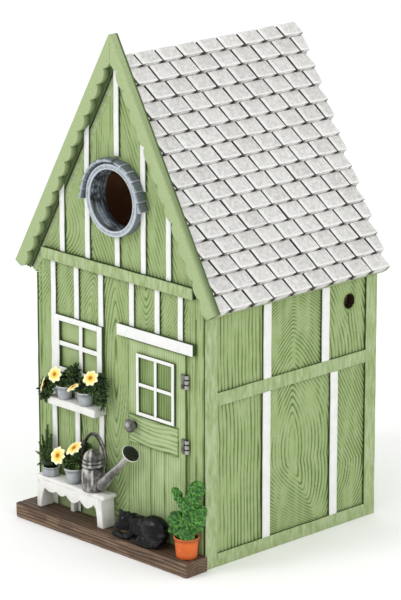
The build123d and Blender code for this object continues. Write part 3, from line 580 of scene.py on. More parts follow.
def front_carving(u, v):
    """u is the distance from the middle, to the right, and v the height."""
    plain = grain(u, u, v, 61, pitch_mm=1.8) * 0.85
    eyes = grain(lens(u, v, -3, 92, 150, 130), u, v, 67, pitch_mm=2.0)
    left_fan = grain(lens(u, v, -24 + 0.2 * (v - 114), 100, 60, 60), u, v, 69, pitch_mm=1.9)
    right_fan = grain(lens(u, v, 20, 148, 30, 34), u, v, 71, pitch_mm=1.9)
    slant = grain(u + 0.45 * v + 0.5 * np.clip(168 - v, 0, 30) ** 2 / 12 * (u < -20), u, v, 79)
    under_sill = grain(lens(u, v, -22, 62, 60, 60), u, v, 73, pitch_mm=1.9)
    high = np.where((np.abs(u + 11) < 9.5) & (v > 196), plain, slant)
    middle = np.where(u > 10, right_fan, np.where(u < -13, left_fan, eyes))
    low = np.where((u > -11) & (u < 8), eyes, np.where((u > -30) & (u < -13) & (v < 66), under_sill, plain))
    groove = np.where(v > 145, high, np.where(v > 116, middle, low))
    groove = np.where(u > 50.5, plain, groove)
    seams = np.zeros_like(u)
    for seam_u, seam_low, seam_high in FRONT_SEAMS:
        line = np.clip(1 - np.abs(u - seam_u - 0.15 * noise(u, v, 9, 11, 3)) / 0.75, 0, 1)
        seams = np.maximum(seams, line * ((v > seam_low) & (v < seam_high)))
    depth = 0.05 + GROOVE_DEPTH * groove + PLANK_GROOVE_DEPTH * seams
    corners = beside(u, v, FRONT_BARS, (0, 2, 1), (0, 0))
    return depth, groove * 1.8 + seams + 0.7 * corners + 0.3 * noise(u, v, 5, 9, 8) - 0.68


rake = Vector((math.sin(pitch), 0, math.cos(pitch)))
front_wall = relief("front_wall_planks", (-panel_x, y_front, 0), (1, 0, 0), (0, 0, 1),
                    front_size_u, front_size_v, FRONT_STEP,
                    lambda u, v: front_carving(u - panel_x / MM, v), 5.0, sage_panel,
                    cuts=[((0, 0, ridge_z), rake), ((0, 0, ridge_z), (-rake.x, 0, rake.z))],
                    holes=[(panel_x / MM, entrance_z / MM, ENTRANCE_CUT_R)])
fit(front_wall, "green_wall", "front_wall")

# %% [markdown]
# The roof tiles are cast as thick hand-made shingles: each stands a little proud at its lower lip,
# its edges are worn round and its top is pitted like slate. One tile is modelled, a box that is
# wedged, bevelled and subdivided, and every other tile is a copy with its own lean and dents.
# A displaced sheet for the whole slope would be lighter, but its lips would have soft walls.
# The side joints slant towards the back, as they do on the real roof.

# %% Roof tiles
COURSES = 15
TILE_PITCH = 14.6        # mm along the roof
TILE_SLANT = 2.6         # mm that a side joint leans from a tile's top to its lip
JOINT = 1.2              # mm between neighbours
LIP_SLANT = 1.5          # mm that the top of a lip lies back
SLAB_T = 3.6             # mm, the board under the tiles
TILE_TOP = 2.9           # mm, mean height at a tile's upper end
TILE_LIP = 4.1           # mm, height at its lip
TILE_START = 2.2         # mm, height where the course above covers it
slope_end = post_x / MM / math.cos(pitch)
first_row = -(SLAB_T + TILE_TOP) * math.tan(pitch)
exposure = (slope_end - first_row) / COURSES
roof_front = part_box("right_roof_tiles")[0].y / MM
roof_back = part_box("right_roof_slab")[1].y / MM


def tile_blank():
    """One tile, 1 wide, 1 down the slope and 1 thick, with worn edges and enough faces to dent."""
    bpy.ops.object.select_all(action="DESELECT")
    bpy.ops.mesh.primitive_cube_add(size=1, location=(0.5, 0.5, 0.5))
    tile = bpy.context.object
    only(tile)
    bpy.ops.object.transform_apply(location=True, rotation=False, scale=False)
    tile.scale = (TILE_PITCH, exposure, TILE_LIP)
    bpy.ops.object.transform_apply(location=False, rotation=False, scale=True)
    bpy.ops.object.mode_set(mode="EDIT")
    bpy.ops.mesh.select_all(action="SELECT")
    bpy.ops.mesh.bevel(offset=0.55, segments=2, profile=0.6)
    done()
    pick(tile, lambda face: face.area > 15, "polygons")
    bpy.ops.mesh.subdivide(number_cuts=4, quadcorner="INNERVERT")
    done()
    return tile


blank = tile_blank()
blank_mesh = points(blank)
height_share = blank_mesh[:, 2] / TILE_LIP
across_share = blank_mesh[:, 0] / TILE_PITCH
at_lip = blank_mesh[:, 1] > 0.93 * exposure
at_side = np.minimum(across_share, 1 - across_share) < 0.05
# Side faces below a tile's top carry the dark of the joints. The foot of the lip is painted a little darker
# as shade, and the top edge of the lip and of the tile's front side (small across_share) is painted light as
# a highlight, on those sides only.
tile_wash_and_painted_light = 1.0 * at_side * (height_share < 0.9) + 0.15 * (at_lip & ~at_side) * (height_share < 0.35)
painted_highlight_edge = (height_share >= 0.9) & (at_lip | (across_share < 0.05))
tile_wash_and_painted_light = tile_wash_and_painted_light - 0.75 * painted_highlight_edge
print("tile blank", len(blank.data.polygons), "faces, exposure", round(exposure, 2))


def slope_place(side, along, down, out):
    """Points on a slope, in metres. along is y, down the distance from the ridge, out the height."""
    x = side * (down * math.cos(pitch) + out * math.sin(pitch))
    z = ridge_z / MM - down * math.sin(pitch) + out * math.cos(pitch)
    return np.stack([x, along, z], axis=1) * MM


def tile_copy(side, start, stop, course, rng):
    """A dented copy of the blank between two joints of one course."""
    co = blank_mesh.copy()
    share_u, share_v, share_w = co[:, 0] / TILE_PITCH, co[:, 1] / exposure, co[:, 2] / TILE_LIP
    width = stop - start - JOINT
    along = start + JOINT / 2 + share_u * width + TILE_SLANT * (share_v - 0.5)
    along = along + rng.uniform(-0.12, 0.12) + 0.2 * share_v * rng.uniform(-1, 1)
    along = np.clip(along, roof_front + 0.05, roof_back - 0.05)
    tail = exposure + 0.1 + rng.uniform(-0.12, 0.12)
    down = first_row + exposure * course - 0.4 + share_v * (tail + 0.4)
    down = down - LIP_SLANT * share_w * share_v ** 6
    crown = TILE_START + (TILE_LIP - TILE_START) * share_v
    dents = 0.10 * noise(along, down, 2.6, 2.1, 100) + 0.06 * noise(along, down, 1.1, 1.0, 101)
    face = np.clip(share_w * 2 - 1, 0, 1)
    tilt = rng.uniform(-0.15, 0.15)
    out = SLAB_T - 0.1 + share_w * crown + face * (dents + tilt * (share_u - 0.5))
    down = down + 0.14 * noise(along * 1.7, down * 1.7, 2.0, 2.0, 102) * (share_v > 0.8)
    if course == 0:
        down = np.maximum(down, -out * math.tan(pitch) + 0.06)
    return slope_place(side, along, down, out)


def tiled_slope(side, name, seed):
    rng = random.Random(seed)
    tiles = []
    for course in range(COURSES):
        stop = roof_front + (0.79 if course % 2 == 0 else 0.29) * TILE_PITCH
        start = stop - TILE_PITCH
        while start < roof_back - 1.5:
            tile = blank.copy()
            tile.data = blank.data.copy()
            bpy.context.collection.objects.link(tile)
            move_to(tile, tile_copy(side, start, stop, course, rng))
            tone = tile.data.attributes.new("wash", "FLOAT", "POINT")
            tone.data.foreach_set("value", (tile_wash_and_painted_light + rng.uniform(-0.06, 0.1)).astype(np.float32))
            tiles.append(tile)
            start, stop = stop, stop + TILE_PITCH
    slope = join(tiles, name)
    only(slope)
    bpy.ops.object.mode_set(mode="EDIT")
    bpy.ops.mesh.select_all(action="SELECT")
    bpy.ops.mesh.normals_make_consistent(inside=False)
    done()
    return settle(slope, name, tile_paint, smooth=45)


right_tiles = tiled_slope(1, "right_slope_tiles", 5)
fit(right_tiles, "roof_tile", "right_roof_tiles")
left_tiles = tiled_slope(-1, "left_slope_tiles", 6)
fit(left_tiles, "roof_tile", "left_roof_tiles")
bpy.data.objects.remove(blank)

# %% [markdown]
# Between the tiles the mould is filled with dark wash. A thin sheet on each slab stands for it,
# so that the joints read as dark lines from every side.

# %% Dark wash under the tiles


def wash_sheet(side, name):
    bpy.ops.object.select_all(action="DESELECT")
    bpy.ops.mesh.primitive_grid_add(x_subdivisions=2, y_subdivisions=COURSES, size=1)
    sheet = bpy.context.object
    co = points(sheet)
    along = roof_front + 0.4 + (co[:, 0] + 0.5) * (roof_back - roof_front - 0.8)
    down = -0.5 + (co[:, 1] + 0.5) * (slope_end - 0.3)
    move_to(sheet, slope_place(side, along, down, np.full(len(co), SLAB_T + 0.1)))
    apply_modifier(sheet, "SOLIDIFY", thickness=0.6 * MM, offset=0.0)
    return settle(sheet, name, felt_dark)


for side, word in ((1, "right"), (-1, "left")):
    fit(wash_sheet(side, word + "_roof_wash"), "roof_tile")

# %% [markdown]
# Each bargeboard is cut from one board, with a row of round lobes along its lower edge.
# The outline is drawn once, filled and extruded, and a bevel breaks its edges. The lobes are arcs of a few
# points each. Two plain boards lie between it and the wall, painted dark as the board's shadow, so only a
# thin dark line of painted shadow shows under the lobes. The sides of the lobed board are painted darker
# towards the wall, as shade.

# %% Bargeboards
BARGE_T = 4.0            # mm, the lobed board
STRIP_T = 1.3            # mm from the wall's face to the back of the lobed board
STRIP_SHOWN = 0.8        # mm, thinner than the battens, which stay in front of it
SCALLOPS = 14
NOTCH_W = 5.0            # mm from the board's top edge to a notch
LOBE_DEPTH = 2.5
UNDER_TILES = 2.0        # mm above the roof board, where the spacer starts
# How dark the two plain boards behind are painted, as the lobed board's shadow.
PAINTED_SHADOW = 0.85
TIP_UP = 20              # mm above the ridge; higher than that the board's tip has no painted shade
barge_top = SLAB_T + (TILE_TOP + TILE_LIP) / 2 + 5.1
barge_end = slope_end + 0.5
barge_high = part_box("right_bargeboard")[1].z


def lobe_points():
    """(down, out) points of the lower edge, from the foot up to the ridge."""
    notch = barge_top - NOTCH_W
    start = -notch * math.tan(pitch)
    pitch_mm = (barge_end - start) / SCALLOPS
    found = []
    for i in range(SCALLOPS):
        for k in range(9):
            share = k / 9
            drop = LOBE_DEPTH * math.sin(math.pi * share) ** 0.6
            found.append((barge_end - pitch_mm * (i + share), notch - drop))
    found.append((start, notch))
    return found


def board_from(outline, side, y0, y1, bevel):
    """Extruded outline of (down, out) points on one slope, cut at the ridge plane."""
    bpy.ops.object.select_all(action="DESELECT")
    bpy.ops.mesh.primitive_circle_add(vertices=len(outline), radius=1, fill_type="NGON")
    board = bpy.context.object
    move_to(board, slope_place(side, np.full(len(outline), y0), *np.array(outline, float).T))
    only(board)
    bpy.ops.object.mode_set(mode="EDIT")
    bpy.ops.mesh.select_all(action="SELECT")
    bpy.ops.mesh.extrude_region_move(TRANSFORM_OT_translate={"value": (0, (y1 - y0) * MM, 0)})
    bpy.ops.mesh.select_all(action="SELECT")
    bpy.ops.mesh.bisect(plane_co=(0, 0, 0), plane_no=(side, 0, 0), clear_inner=True, use_fill=True)
    bpy.ops.mesh.select_all(action="SELECT")
    bpy.ops.mesh.bisect(plane_co=(0, 0, barge_high), plane_no=(0, 0, 1), clear_outer=True, use_fill=True)
    bpy.ops.mesh.select_all(action="SELECT")
    bpy.ops.mesh.normals_make_consistent(inside=False)
    done()
    return apply_modifier(board, "BEVEL", width=bevel * MM, segments=2, limit_method="ANGLE",
                          angle_limit=math.radians(35))


def bargeboard(side, name):
    top = (-barge_top * math.tan(pitch), barge_top)
    front = FRONT_FACE - STRIP_T - BARGE_T
    face = board_from(lobe_points() + [top, (barge_end, barge_top)], side, front, front + BARGE_T, 0.5)
    low = barge_top - NOTCH_W - LOBE_DEPTH - 0.5
    strip = board_from([(-low * math.tan(pitch), low), top, (barge_end, barge_top), (barge_end, low)],
                       side, FRONT_FACE - STRIP_SHOWN, FRONT_FACE, 0.25)
    # The strip under the lobes is painted dark as the board's shadow.
    write_wash_and_painted_light(strip, np.full(len(strip.data.vertices), PAINTED_SHADOW))
    # The lobed board's sides are painted darker towards the wall as shade, below the tip.
    co = points(face) / MM
    below_tip = co[:, 2] < ridge_z / MM + TIP_UP
    write_wash_and_painted_light(face, np.clip((co[:, 1] - front - 0.3) / 0.2, 0, 0.8) * below_tip)
    inner = UNDER_TILES + SLAB_T
    spacer = board_from([(-2 * math.tan(pitch), inner), top, (barge_end, barge_top), (barge_end, inner)],
                        side, front + BARGE_T - 0.1, FRONT_FACE - 0.1, 0.1)
    # The spacer under the tiles is painted dark as shadow too.
    write_wash_and_painted_light(spacer, np.full(len(spacer.data.vertices), PAINTED_SHADOW))
    return settle(join([face, strip, spacer], name), name, sage_board, smooth=35)


for side, word in ((1, "right"), (-1, "left")):
    board = bargeboard(side, word + "_scalloped_board")
    fit(board, "green_trim", word + "_bargeboard")

# %% [markdown]
# Battens, rails and posts are flat bars planted on the walls. Each is a box that gets loops along
# its length, rounded edges and a slight waver, because they were shaped by hand in the pattern.
# The dark wash that ran into the corners was never wiped off their sides. A loop just under the
# front edge keeps that dark band off the face.

# %% Timber bars
WASH_LINE = 0.5          # mm below the face, where the wiped paint ends
OUTWARD = {"front": (0, -1, 0), "right": (1, 0, 0), "left": (-1, 0, 0), "top": (0, 0, 1)}


def timber(low, high, face, bevel=0.35, step=4.0, waver=0.12, wash_line=WASH_LINE):
    """Bar between two corners in millimetres, with its worn side facing one way."""
    low, high = np.array(low, float), np.array(high, float)
    size, out = high - low, np.array(OUTWARD[face], float)
    bpy.ops.object.select_all(action="DESELECT")
    bpy.ops.mesh.primitive_cube_add(size=1, location=tuple((low + high) / 2 * MM))
    bar = bpy.context.object
    bar.scale = tuple(size * MM)
    only(bar)
    bpy.ops.object.transform_apply(location=True, rotation=False, scale=True)
    run = int(np.argmax(size))
    ends = points(bar)
    pick(bar, lambda edge: abs(ends[edge.vertices[0]] - ends[edge.vertices[1]]).argmax() == run, "edges")
    bpy.ops.mesh.subdivide(number_cuts=max(1, round(size[run] / step)))
    done()
    apply_modifier(bar, "BEVEL", width=bevel * MM, segments=2, limit_method="ANGLE")
    top = max(float(low @ out), float(high @ out))
    only(bar)
    bpy.ops.object.mode_set(mode="EDIT")
    bpy.ops.mesh.select_all(action="SELECT")
    bpy.ops.mesh.bisect(plane_co=tuple(out * (top - wash_line) * MM), plane_no=tuple(out))
    done()
    co = points(bar)
    depth = top - co @ out / MM
    x, y, z = co.T / MM
    shift = np.stack([noise(z + y, x, 7, 50, 201), noise(x + z, y, 7, 50, 202),
                      noise(x + y, z, 7, 50, 203)], axis=1)
    shift = shift - np.outer(shift @ out, out)
    co = co + waver * MM * shift
    co[:, 2] = np.maximum(co[:, 2], 0)
    move_to(bar, co)
    write_wash_and_painted_light(bar, (depth > wash_line - 0.05).astype(float))
    return bar


def timbers(name, material, nodes, face, **shape):
    """One piece of several bars, one for each solid of the CAD nodes."""
    bars = [timber(low, high, face, **shape) for node_name in nodes for low, high in solids(node_name)]
    return settle(join(bars, name), name, material, smooth=40)


def side_timbers(name, material, node_name):
    """The same for bars on both side walls: a bar faces the way it stands out."""
    bars = [timber(low, high, "right" if low[0] > 0 else "left") for low, high in solids(node_name)]
    return settle(join(bars, name), name, material, smooth=40)


fit(side_timbers("white_side_battens", white_paint, "side_battens"), "white_trim", "side_battens")
fit(side_timbers("side_rails_middle", sage_trim, "side_mid_rails"), "green_trim", "side_mid_rails")
fit(side_timbers("side_rails_bottom", sage_trim, "side_bottom_rails"), "green_trim", "side_bottom_rails")
fit(side_timbers("corner_boards", sage_trim, "corner_posts"), "green_trim", "corner_posts")
fit(timbers("white_front_battens", white_paint, ["front_battens"], "front"), "white_trim", "front_battens")
fit(timbers("beam_under_gable", sage_trim, ["gable_beam"], "front"), "green_trim", "gable_beam")
fit(timbers("door_lintel_board", white_paint, ["door_lintel"], "front"), "white_trim", "door_lintel")

# %% [markdown]
# The gable battens run up behind the scalloped boards, so two bisect planes, one for each slope,
# cut them there.

# %% Gable battens
UNDER_BOARD = 7.4        # mm out from the roof's underside, where the scalloped board hides their ends
REACH_UP = 22            # mm added to a batten that ends at the roof, before the cut
longer = []
for low, high in solids("gable_battens"):
    roof_line = (ridge_z / MM) - min(abs(low[0]), abs(high[0])) * math.tan(pitch)
    if high[2] > roof_line - 8:
        high = high + np.array((0, 0, REACH_UP))
    longer.append(timber(low, high, "front", step=3.0))
gable = join(longer, "white_gable_battens")
settle(gable, "white_gable_battens", white_paint, smooth=40)
for side in (1, -1):
    slope_out = Vector((side * math.sin(pitch), 0, math.cos(pitch)))
    only(gable)
    bpy.ops.object.mode_set(mode="EDIT")
    bpy.ops.mesh.select_all(action="SELECT")
    bpy.ops.mesh.bisect(plane_co=Vector((0, 0, ridge_z)) + slope_out * UNDER_BOARD * MM, plane_no=slope_out,
                        clear_outer=True, use_fill=True)
    done()
fit(gable, "white_trim", "gable_battens")

# %% [markdown]
# The roof boards under the tiles show as a green line at the eaves and from behind. Inside the nest
# nothing is painted, so their undersides between the walls are bare brown resin.

# %% Roof boards
inside_y = -y_front - 2.5 * MM


def roof_board(side, name, node_name):
    low, high = area(node_name)
    outline = [(slope_end, 0), (0, 0), (-SLAB_T * math.tan(pitch), SLAB_T), (slope_end, SLAB_T)]
    board = board_from(outline, side, low[1], high[1], 0.3)
    only(board)
    bpy.ops.object.mode_set(mode="EDIT")
    for cut_y in (-inside_y, inside_y):
        bpy.ops.mesh.select_all(action="SELECT")
        bpy.ops.mesh.bisect(plane_co=(0, cut_y, 0), plane_no=(0, 1, 0))
    done()
    settle(board, name, sage_rail, smooth=35)
    board.data.materials.append(inside_brown)
    inward = Vector((-side * math.sin(pitch), 0, -math.cos(pitch)))
    for face in board.data.polygons:
        if face.normal.dot(inward) > 0.9 and abs(face.center.y) < inside_y:
            face.material_index = 1
    return fit(board, "green_trim", node_name)


roof_board(1, "right_roof_board", "right_roof_slab")
roof_board(-1, "left_roof_board", "left_roof_slab")

# %% [markdown]
# The door is a thin leaf with tall planks below and plain stiles round its window above.
# It is carved the same way as the walls. Across its middle runs a rail of wavy lengthwise grain.

# %% Front door
door_low, door_high = area("front_door")
door_w, door_h = door_high[0] - door_low[0], door_high[2] - door_low[2]
rail_low, rail_high = area("door_mid_rail")
DOOR_SEAMS = (24.1, 34.5)
DOOR_BARS = ["door_sash", "door_glazing_bars", "door_mid_rail", "front_step"]


def door_carving(u, v):
    x, z = u + door_low[0], v + door_low[2]
    groove = grain(u, u, v, 83, pitch_mm=1.75) * np.where(z < rail_low[2], 0.9, 0.5)
    seams = np.zeros_like(u)
    for seam_x in DOOR_SEAMS:
        line = np.clip(1 - np.abs(x - seam_x - 0.2 * noise(u, v, 9, 11, 84)) / 0.7, 0, 1)
        seams = np.maximum(seams, line * (z < rail_low[2]))
    edge = np.exp(-np.minimum(np.minimum(u, door_w - u), door_h - v) / 0.5)
    corners = beside(x, z, DOOR_BARS, (0, 2, 1), (0, 0))
    wash = groove * 1.5 + seams + 0.8 * corners + edge + 0.2 * noise(u, v, 6, 9, 85) - 0.4
    return 0.02 + 0.3 * groove + 0.5 * seams, wash


leaf = relief("door_leaf_planks", tuple(door_low * MM), (1, 0, 0), (0, 0, 1), door_w, door_h, 0.5,
              door_carving, 1.0, sage_panel)
fit(leaf, "green_wall", "front_door")


def rail_carving(u, v):
    bowed = v + 1.6 * np.exp(-((u - 14) / 12) ** 2) + 0.05 * u
    groove = grain(bowed, v, u, 89, wave=1.6, pitch_mm=2.3, width=0.3)
    edge = np.exp(-np.minimum(np.minimum(v, rail_high[2] - rail_low[2] - v), u + 0.3) / 0.45)
    return 0.02 + 0.35 * groove, groove * 1.5 + 0.9 * edge - 0.4


mid_rail = relief("door_middle_rail", tuple(rail_low * MM), (1, 0, 0), (0, 0, 1), rail_high[0] - rail_low[0],
                  rail_high[2] - rail_low[2], 0.5, rail_carving, 0.8, sage_panel)
fit(mid_rail, "green_wall", "door_mid_rail")

# %% [markdown]
# Window and door light are white bars on a green ground, not glass. The frames are four bars each,
# two full-height stiles and two rails between them, and the glazing bars cross inside.

# %% Windows


def frame_bars(name, node_name, stile, rail):
    low, high = area(node_name)
    inner = low[0] + stile, high[0] - stile
    boxes = [((low[0], low[1], low[2]), (inner[0], high[1], high[2])),
             ((inner[1], low[1], low[2]), (high[0], high[1], high[2])),
             ((inner[0], low[1], low[2]), (inner[1], high[1], low[2] + rail)),
             ((inner[0], low[1], high[2] - rail), (inner[1], high[1], high[2]))]
    bars = [timber(a, b, "front", bevel=0.3, waver=0.1) for a, b in boxes]
    return settle(join(bars, name), name, white_paint, smooth=40)


pane_low, pane_high = area("window_panes")
window_low, window_high = area("window_frame")
fit(frame_bars("window_casing", "window_frame", pane_low[0] - window_low[0], pane_low[2] - window_low[2]),
    "white_trim", "window_frame")
fit(timbers("window_glazing_bars", white_paint, ["window_bars"], "front", bevel=0.3), "white_trim",
    "window_bars")
DOOR_SASH_W = 1.8
fit(frame_bars("door_light_frame", "door_sash", DOOR_SASH_W, DOOR_SASH_W), "white_trim", "door_sash")
fit(timbers("door_light_bars", white_paint, ["door_glazing_bars"], "front", bevel=0.25, step=3.0),
    "white_trim", "door_glazing_bars")


def pane_carving(u, v):
    corners = beside(u + pane_low[0], v + pane_low[2], ["window_bars"],
                     (0, 2, 1), (0, 0))
    # The band along the left and lower edges of the ground is painted dark as the frame's shadow.
    edge = np.exp(-np.minimum(u / 1.4, v / 0.8))
    return 0.05 + 0.06 * noise(u, v, 2, 3, 97), 0.7 * corners + 0.9 * edge + 0.2 * noise(u, v, 5, 5, 98)


panes = relief("window_ground", tuple(pane_low * MM), (1, 0, 0), (0, 0, 1), pane_high[0] - pane_low[0],
               pane_high[2] - pane_low[2], 0.5, pane_carving, 0.6, sage_panel)
fit(panes, "green_wall", "window_panes")

# %% [markdown]
# The shelf and the step are boards too. The step is stained brown with long saw marks along its
# front edge and ring marks on its ends, so its box gets many loops and a groove pattern pushed in.

# %% Shelf and step
shelf_low, shelf_high = area("flower_shelf")
shelf = timber(shelf_low, shelf_high, "front", bevel=0.6, step=3.0, waver=0.15, wash_line=0.0)
settle(shelf, "shelf_board", bench_white, smooth=40)
# The right end of the shelf is painted greyer as shade.
write_wash_and_painted_light(shelf, np.clip((points(shelf)[:, 0] / MM - shelf_high[0] + 0.8) * 0.5, 0, 0.4))
fit(shelf, "white_trim", "flower_shelf")

step_low, step_high = area("front_step")
STEP_LOOPS = 22          # cuts along each of two axes, for the grooves to bend on


def carved_step():
    """Long board whose front and top carry saw grooves and whose ends show end grain."""
    board = timber(step_low, step_high, "front", bevel=0.9, step=1.5, waver=0.25, wash_line=1.2)
    only(board)
    for axis in (1, 2):
        for i in range(1, STEP_LOOPS):
            place, normal = [0, 0, 0], [0, 0, 0]
            place[axis] = (step_low[axis] + (step_high[axis] - step_low[axis]) * i / STEP_LOOPS) * MM
            normal[axis] = 1
            bpy.ops.object.mode_set(mode="EDIT")
            bpy.ops.mesh.select_all(action="SELECT")
            bpy.ops.mesh.bisect(plane_co=place, plane_no=normal)
            done()
    co = points(board) / MM
    x, y, z = co.T
    on_front = np.clip(1 - (y - step_low[1]) / 0.3, 0, 1)
    on_top = np.clip(1 - (step_high[2] - z) / 0.3, 0, 1)
    on_end = np.clip(1 - (step_high[0] - np.abs(x)) / 0.3, 0, 1)
    saw = strokes(z / 1.9 + 0.35 * noise(x, z, 24, 2.5, 301) + 0.1, 0.3)
    plank = strokes(y / 3.1 + 0.25 * noise(x, y, 22, 3, 302), 0.22)
    rings = strokes(np.hypot(y - step_low[1] - 9, z * 1.2 + 7) / 1.7 + 0.3 * noise(y, z, 3, 3, 303), 0.3)
    co[:, 1] += on_front * (0.55 * saw + 0.15 * noise(x, z, 2, 1.5, 304) + 0.15)
    co[:, 2] -= on_top * (0.4 * plank + 0.1 * noise(x, y, 2, 2, 305) + 0.1)
    co[:, 0] -= np.sign(x) * on_end * (0.4 * rings + 0.1)
    co[:, 0] = np.clip(co[:, 0], step_low[0], step_high[0])
    co[:, 1] = np.clip(co[:, 1], step_low[1], step_high[1])
    co[:, 2] = np.clip(co[:, 2], 0, step_high[2])
    move_to(board, co * MM)
    dark = 0.9 * saw * on_front + 0.8 * plank * on_top * (1 - on_front) + 0.8 * rings * on_end
    rubbed = 0.5 * on_front * (1 - saw) * (noise(x, z, 9, 2, 306) > 0)
    write_wash_and_painted_light(board, dark - rubbed + 0.25 * on_top)
    return settle(board, "brown_step_board", step_brown, smooth=50)


fit(carved_step(), "brown_wood", "front_step")

# %% [markdown]
# Round things are lathe work. A ring of points is moved to half the outline, and spin carries it
# round an axis. The entrance collar, the knob, the pots and the can's drum all come from this.

# %% Lathe helper


def turned(profile, centre, axis=(0, 0, 1), steps=48):
    """Spins a closed outline of (radius, height) points in millimetres about an axis at centre."""
    radius, height = np.array(profile, float).T
    bpy.ops.object.select_all(action="DESELECT")
    bpy.ops.mesh.primitive_circle_add(vertices=len(profile), radius=1)
    work = bpy.context.object
    move_to(work, np.stack([radius, 0 * radius, height], axis=1) * MM)
    pick(work, lambda edge: radius[edge.vertices[0]] + radius[edge.vertices[1]] < 1e-6, "edges")
    bpy.ops.mesh.delete(type="EDGE")
    bpy.ops.mesh.select_all(action="SELECT")
    bpy.ops.mesh.spin(steps=steps, angle=math.tau, center=(0, 0, 0), axis=(0, 0, 1))
    bpy.ops.mesh.select_all(action="SELECT")
    bpy.ops.mesh.remove_doubles(threshold=1e-6)
    bpy.ops.mesh.normals_make_consistent(inside=False)
    done()
    turn = np.array(Vector((0, 0, 1)).rotation_difference(Vector(axis)).to_matrix())
    move_to(work, points(work) @ turn.T + np.array(centre, float) * MM)
    return work


# %% [markdown]
# The entrance collar is a thick rim with rounded edges on a tube that goes through the wall. Rings turned
# inside the tube show how it was shaped. The inside of the tube is painted dark in blotches as shade, the
# outer side of the rim is painted dark as shade, and both edges of the rim's face are painted light as
# highlights.

# %% Entrance collar
collar_low, collar_high = area("entrance_collar")
ring_z = entrance_z / MM
RIM_R = (collar_high[0] - collar_low[0]) / 2
HOLE_R = 16.0            # mm
TUBE_R = 18.0
TURNED_RINGS = 16
front_y, tube_end = collar_low[1], collar_high[1]


def collar_profile():
    """(radius, height) with height measured outwards from the wall's face."""
    reach, back = FRONT_FACE - front_y, FRONT_FACE - tube_end
    outline = [(RIM_R, 0.0), (RIM_R, reach - 1.0), (RIM_R - 0.3, reach - 0.3), (RIM_R - 0.9, reach),
               (RIM_R - 1.3, reach - 0.12), (HOLE_R + 0.9, reach - 0.12), (HOLE_R + 0.6, reach),
               (HOLE_R + 0.1, reach - 0.25), (HOLE_R, reach - 0.8)]
    for i in range(TURNED_RINGS):
        height = reach - 1.2 + (back - reach + 1.2) * i / (TURNED_RINGS - 1)
        outline.append((HOLE_R + (0.45 if i % 3 == 1 else 0.0), height))
    return outline + [(TUBE_R, back), (TUBE_R, 0.0)]


collar = turned(collar_profile(), (0, FRONT_FACE, ring_z), axis=(0, -1, 0), steps=96)
co = points(collar) / MM
r = np.hypot(co[:, 0], co[:, 2] - ring_z)
# Painted shade inside the tube and on the rim's outer side, painted highlights on the rim face's edges.
inside = (r < HOLE_R + 0.5) & (co[:, 1] > front_y + 0.7)
edges = (co[:, 1] < front_y + 0.3) & ((r < HOLE_R + 0.7) | (r > RIM_R - 1.0))
shade = 0.7 * inside + 0.7 * inside * noise(co[:, 0] + co[:, 2], co[:, 1], 1.6, 1.2, 311) - 0.8 * edges
shade = shade + 0.55 * ((r > RIM_R - 0.2) & (co[:, 1] > front_y + 0.6))
write_wash_and_painted_light(collar, shade)
fit(settle(collar, "entrance_ring", pewter_paint, smooth=40), "pewter", "entrance_collar")

# %% [markdown]
# Over the collar lies an eyebrow of overlapping roll tiles, as on a pantile verge. Each roll is a
# short half-round that swells towards its lower end and laps over the next. They are laid out
# on an arc, and the last one on each side turns outwards as a foot.

# %% Hood of roll tiles
hood_low, hood_high = area("entrance_hood")
ROLLS = 13
HOOD_INNER = RIM_R + 0.15
HOOD_THICK = 2.9         # mm
HOOD_ARC = math.radians(74)
FOOT_AT = 1.28           # the arc ends at a share of 1 / FOOT_AT, and a straight foot follows
FOOT_RUN = 30.0


def hood_line(share):
    """Point and outward direction on the hood's middle line, share -1 to 1, 0 at the top."""
    angle = min(abs(share) * FOOT_AT, 1.0) * HOOD_ARC
    side = 1 if share > 0 else -1
    radius = HOOD_INNER + HOOD_THICK / 2
    point = np.array([side * radius * math.sin(angle), radius * math.cos(angle)])
    extra = max(0.0, abs(share) * FOOT_AT - 1.0) * FOOT_RUN
    along = np.array([side * math.cos(angle), -math.sin(angle)])
    out = np.array([side * math.sin(angle), math.cos(angle)])
    return point + along * extra * 0.9, out


def roll_tile(start, stop):
    """One half-round roll between two shares of the arc, fatter at its lower end."""
    bpy.ops.object.select_all(action="DESELECT")
    bpy.ops.mesh.primitive_cylinder_add(vertices=20, radius=1, depth=1, end_fill_type="NGON")
    roll = bpy.context.object
    pick(roll, lambda edge: edge.vertices[0] // 2 == edge.vertices[1] // 2, "edges")
    bpy.ops.mesh.subdivide(number_cuts=5)
    done()
    apply_modifier(roll, "BEVEL", width=0.09, segments=2, limit_method="ANGLE", angle_limit=math.radians(50))
    co = points(roll)
    share = co[:, 2] + 0.5
    depth = FRONT_FACE - hood_low[1]
    placed = np.empty_like(co)
    for i, (across, deep, _) in enumerate(co):
        point, out = hood_line(start + (stop - start) * share[i])
        swell = 0.74 + 0.26 * share[i]
        lift = np.clip(across, -1, 1) * swell * HOOD_THICK / 2 + 0.25 * (share[i] - 0.5)
        spot = point + out * lift
        placed[i] = (spot[0], FRONT_FACE - depth / 2 + deep * swell * depth / 2, ring_z + spot[1])
    placed[:, 1] = np.minimum(placed[:, 1], FRONT_FACE - 0.02)
    move_to(roll, placed * MM)
    # The front edge of each roll and its lower lip are painted light as highlights; the upper end, where the
    # roll above laps over it, is painted dark as shade.
    front = np.clip((hood_low[1] + 1.0 - placed[:, 1]) / 0.6, 0, 1)
    lip = share > 0.93
    write_wash_and_painted_light(roll, 0.7 - 1.0 * front + 1.0 * (share < 0.22) - 0.8 * lip)
    return roll


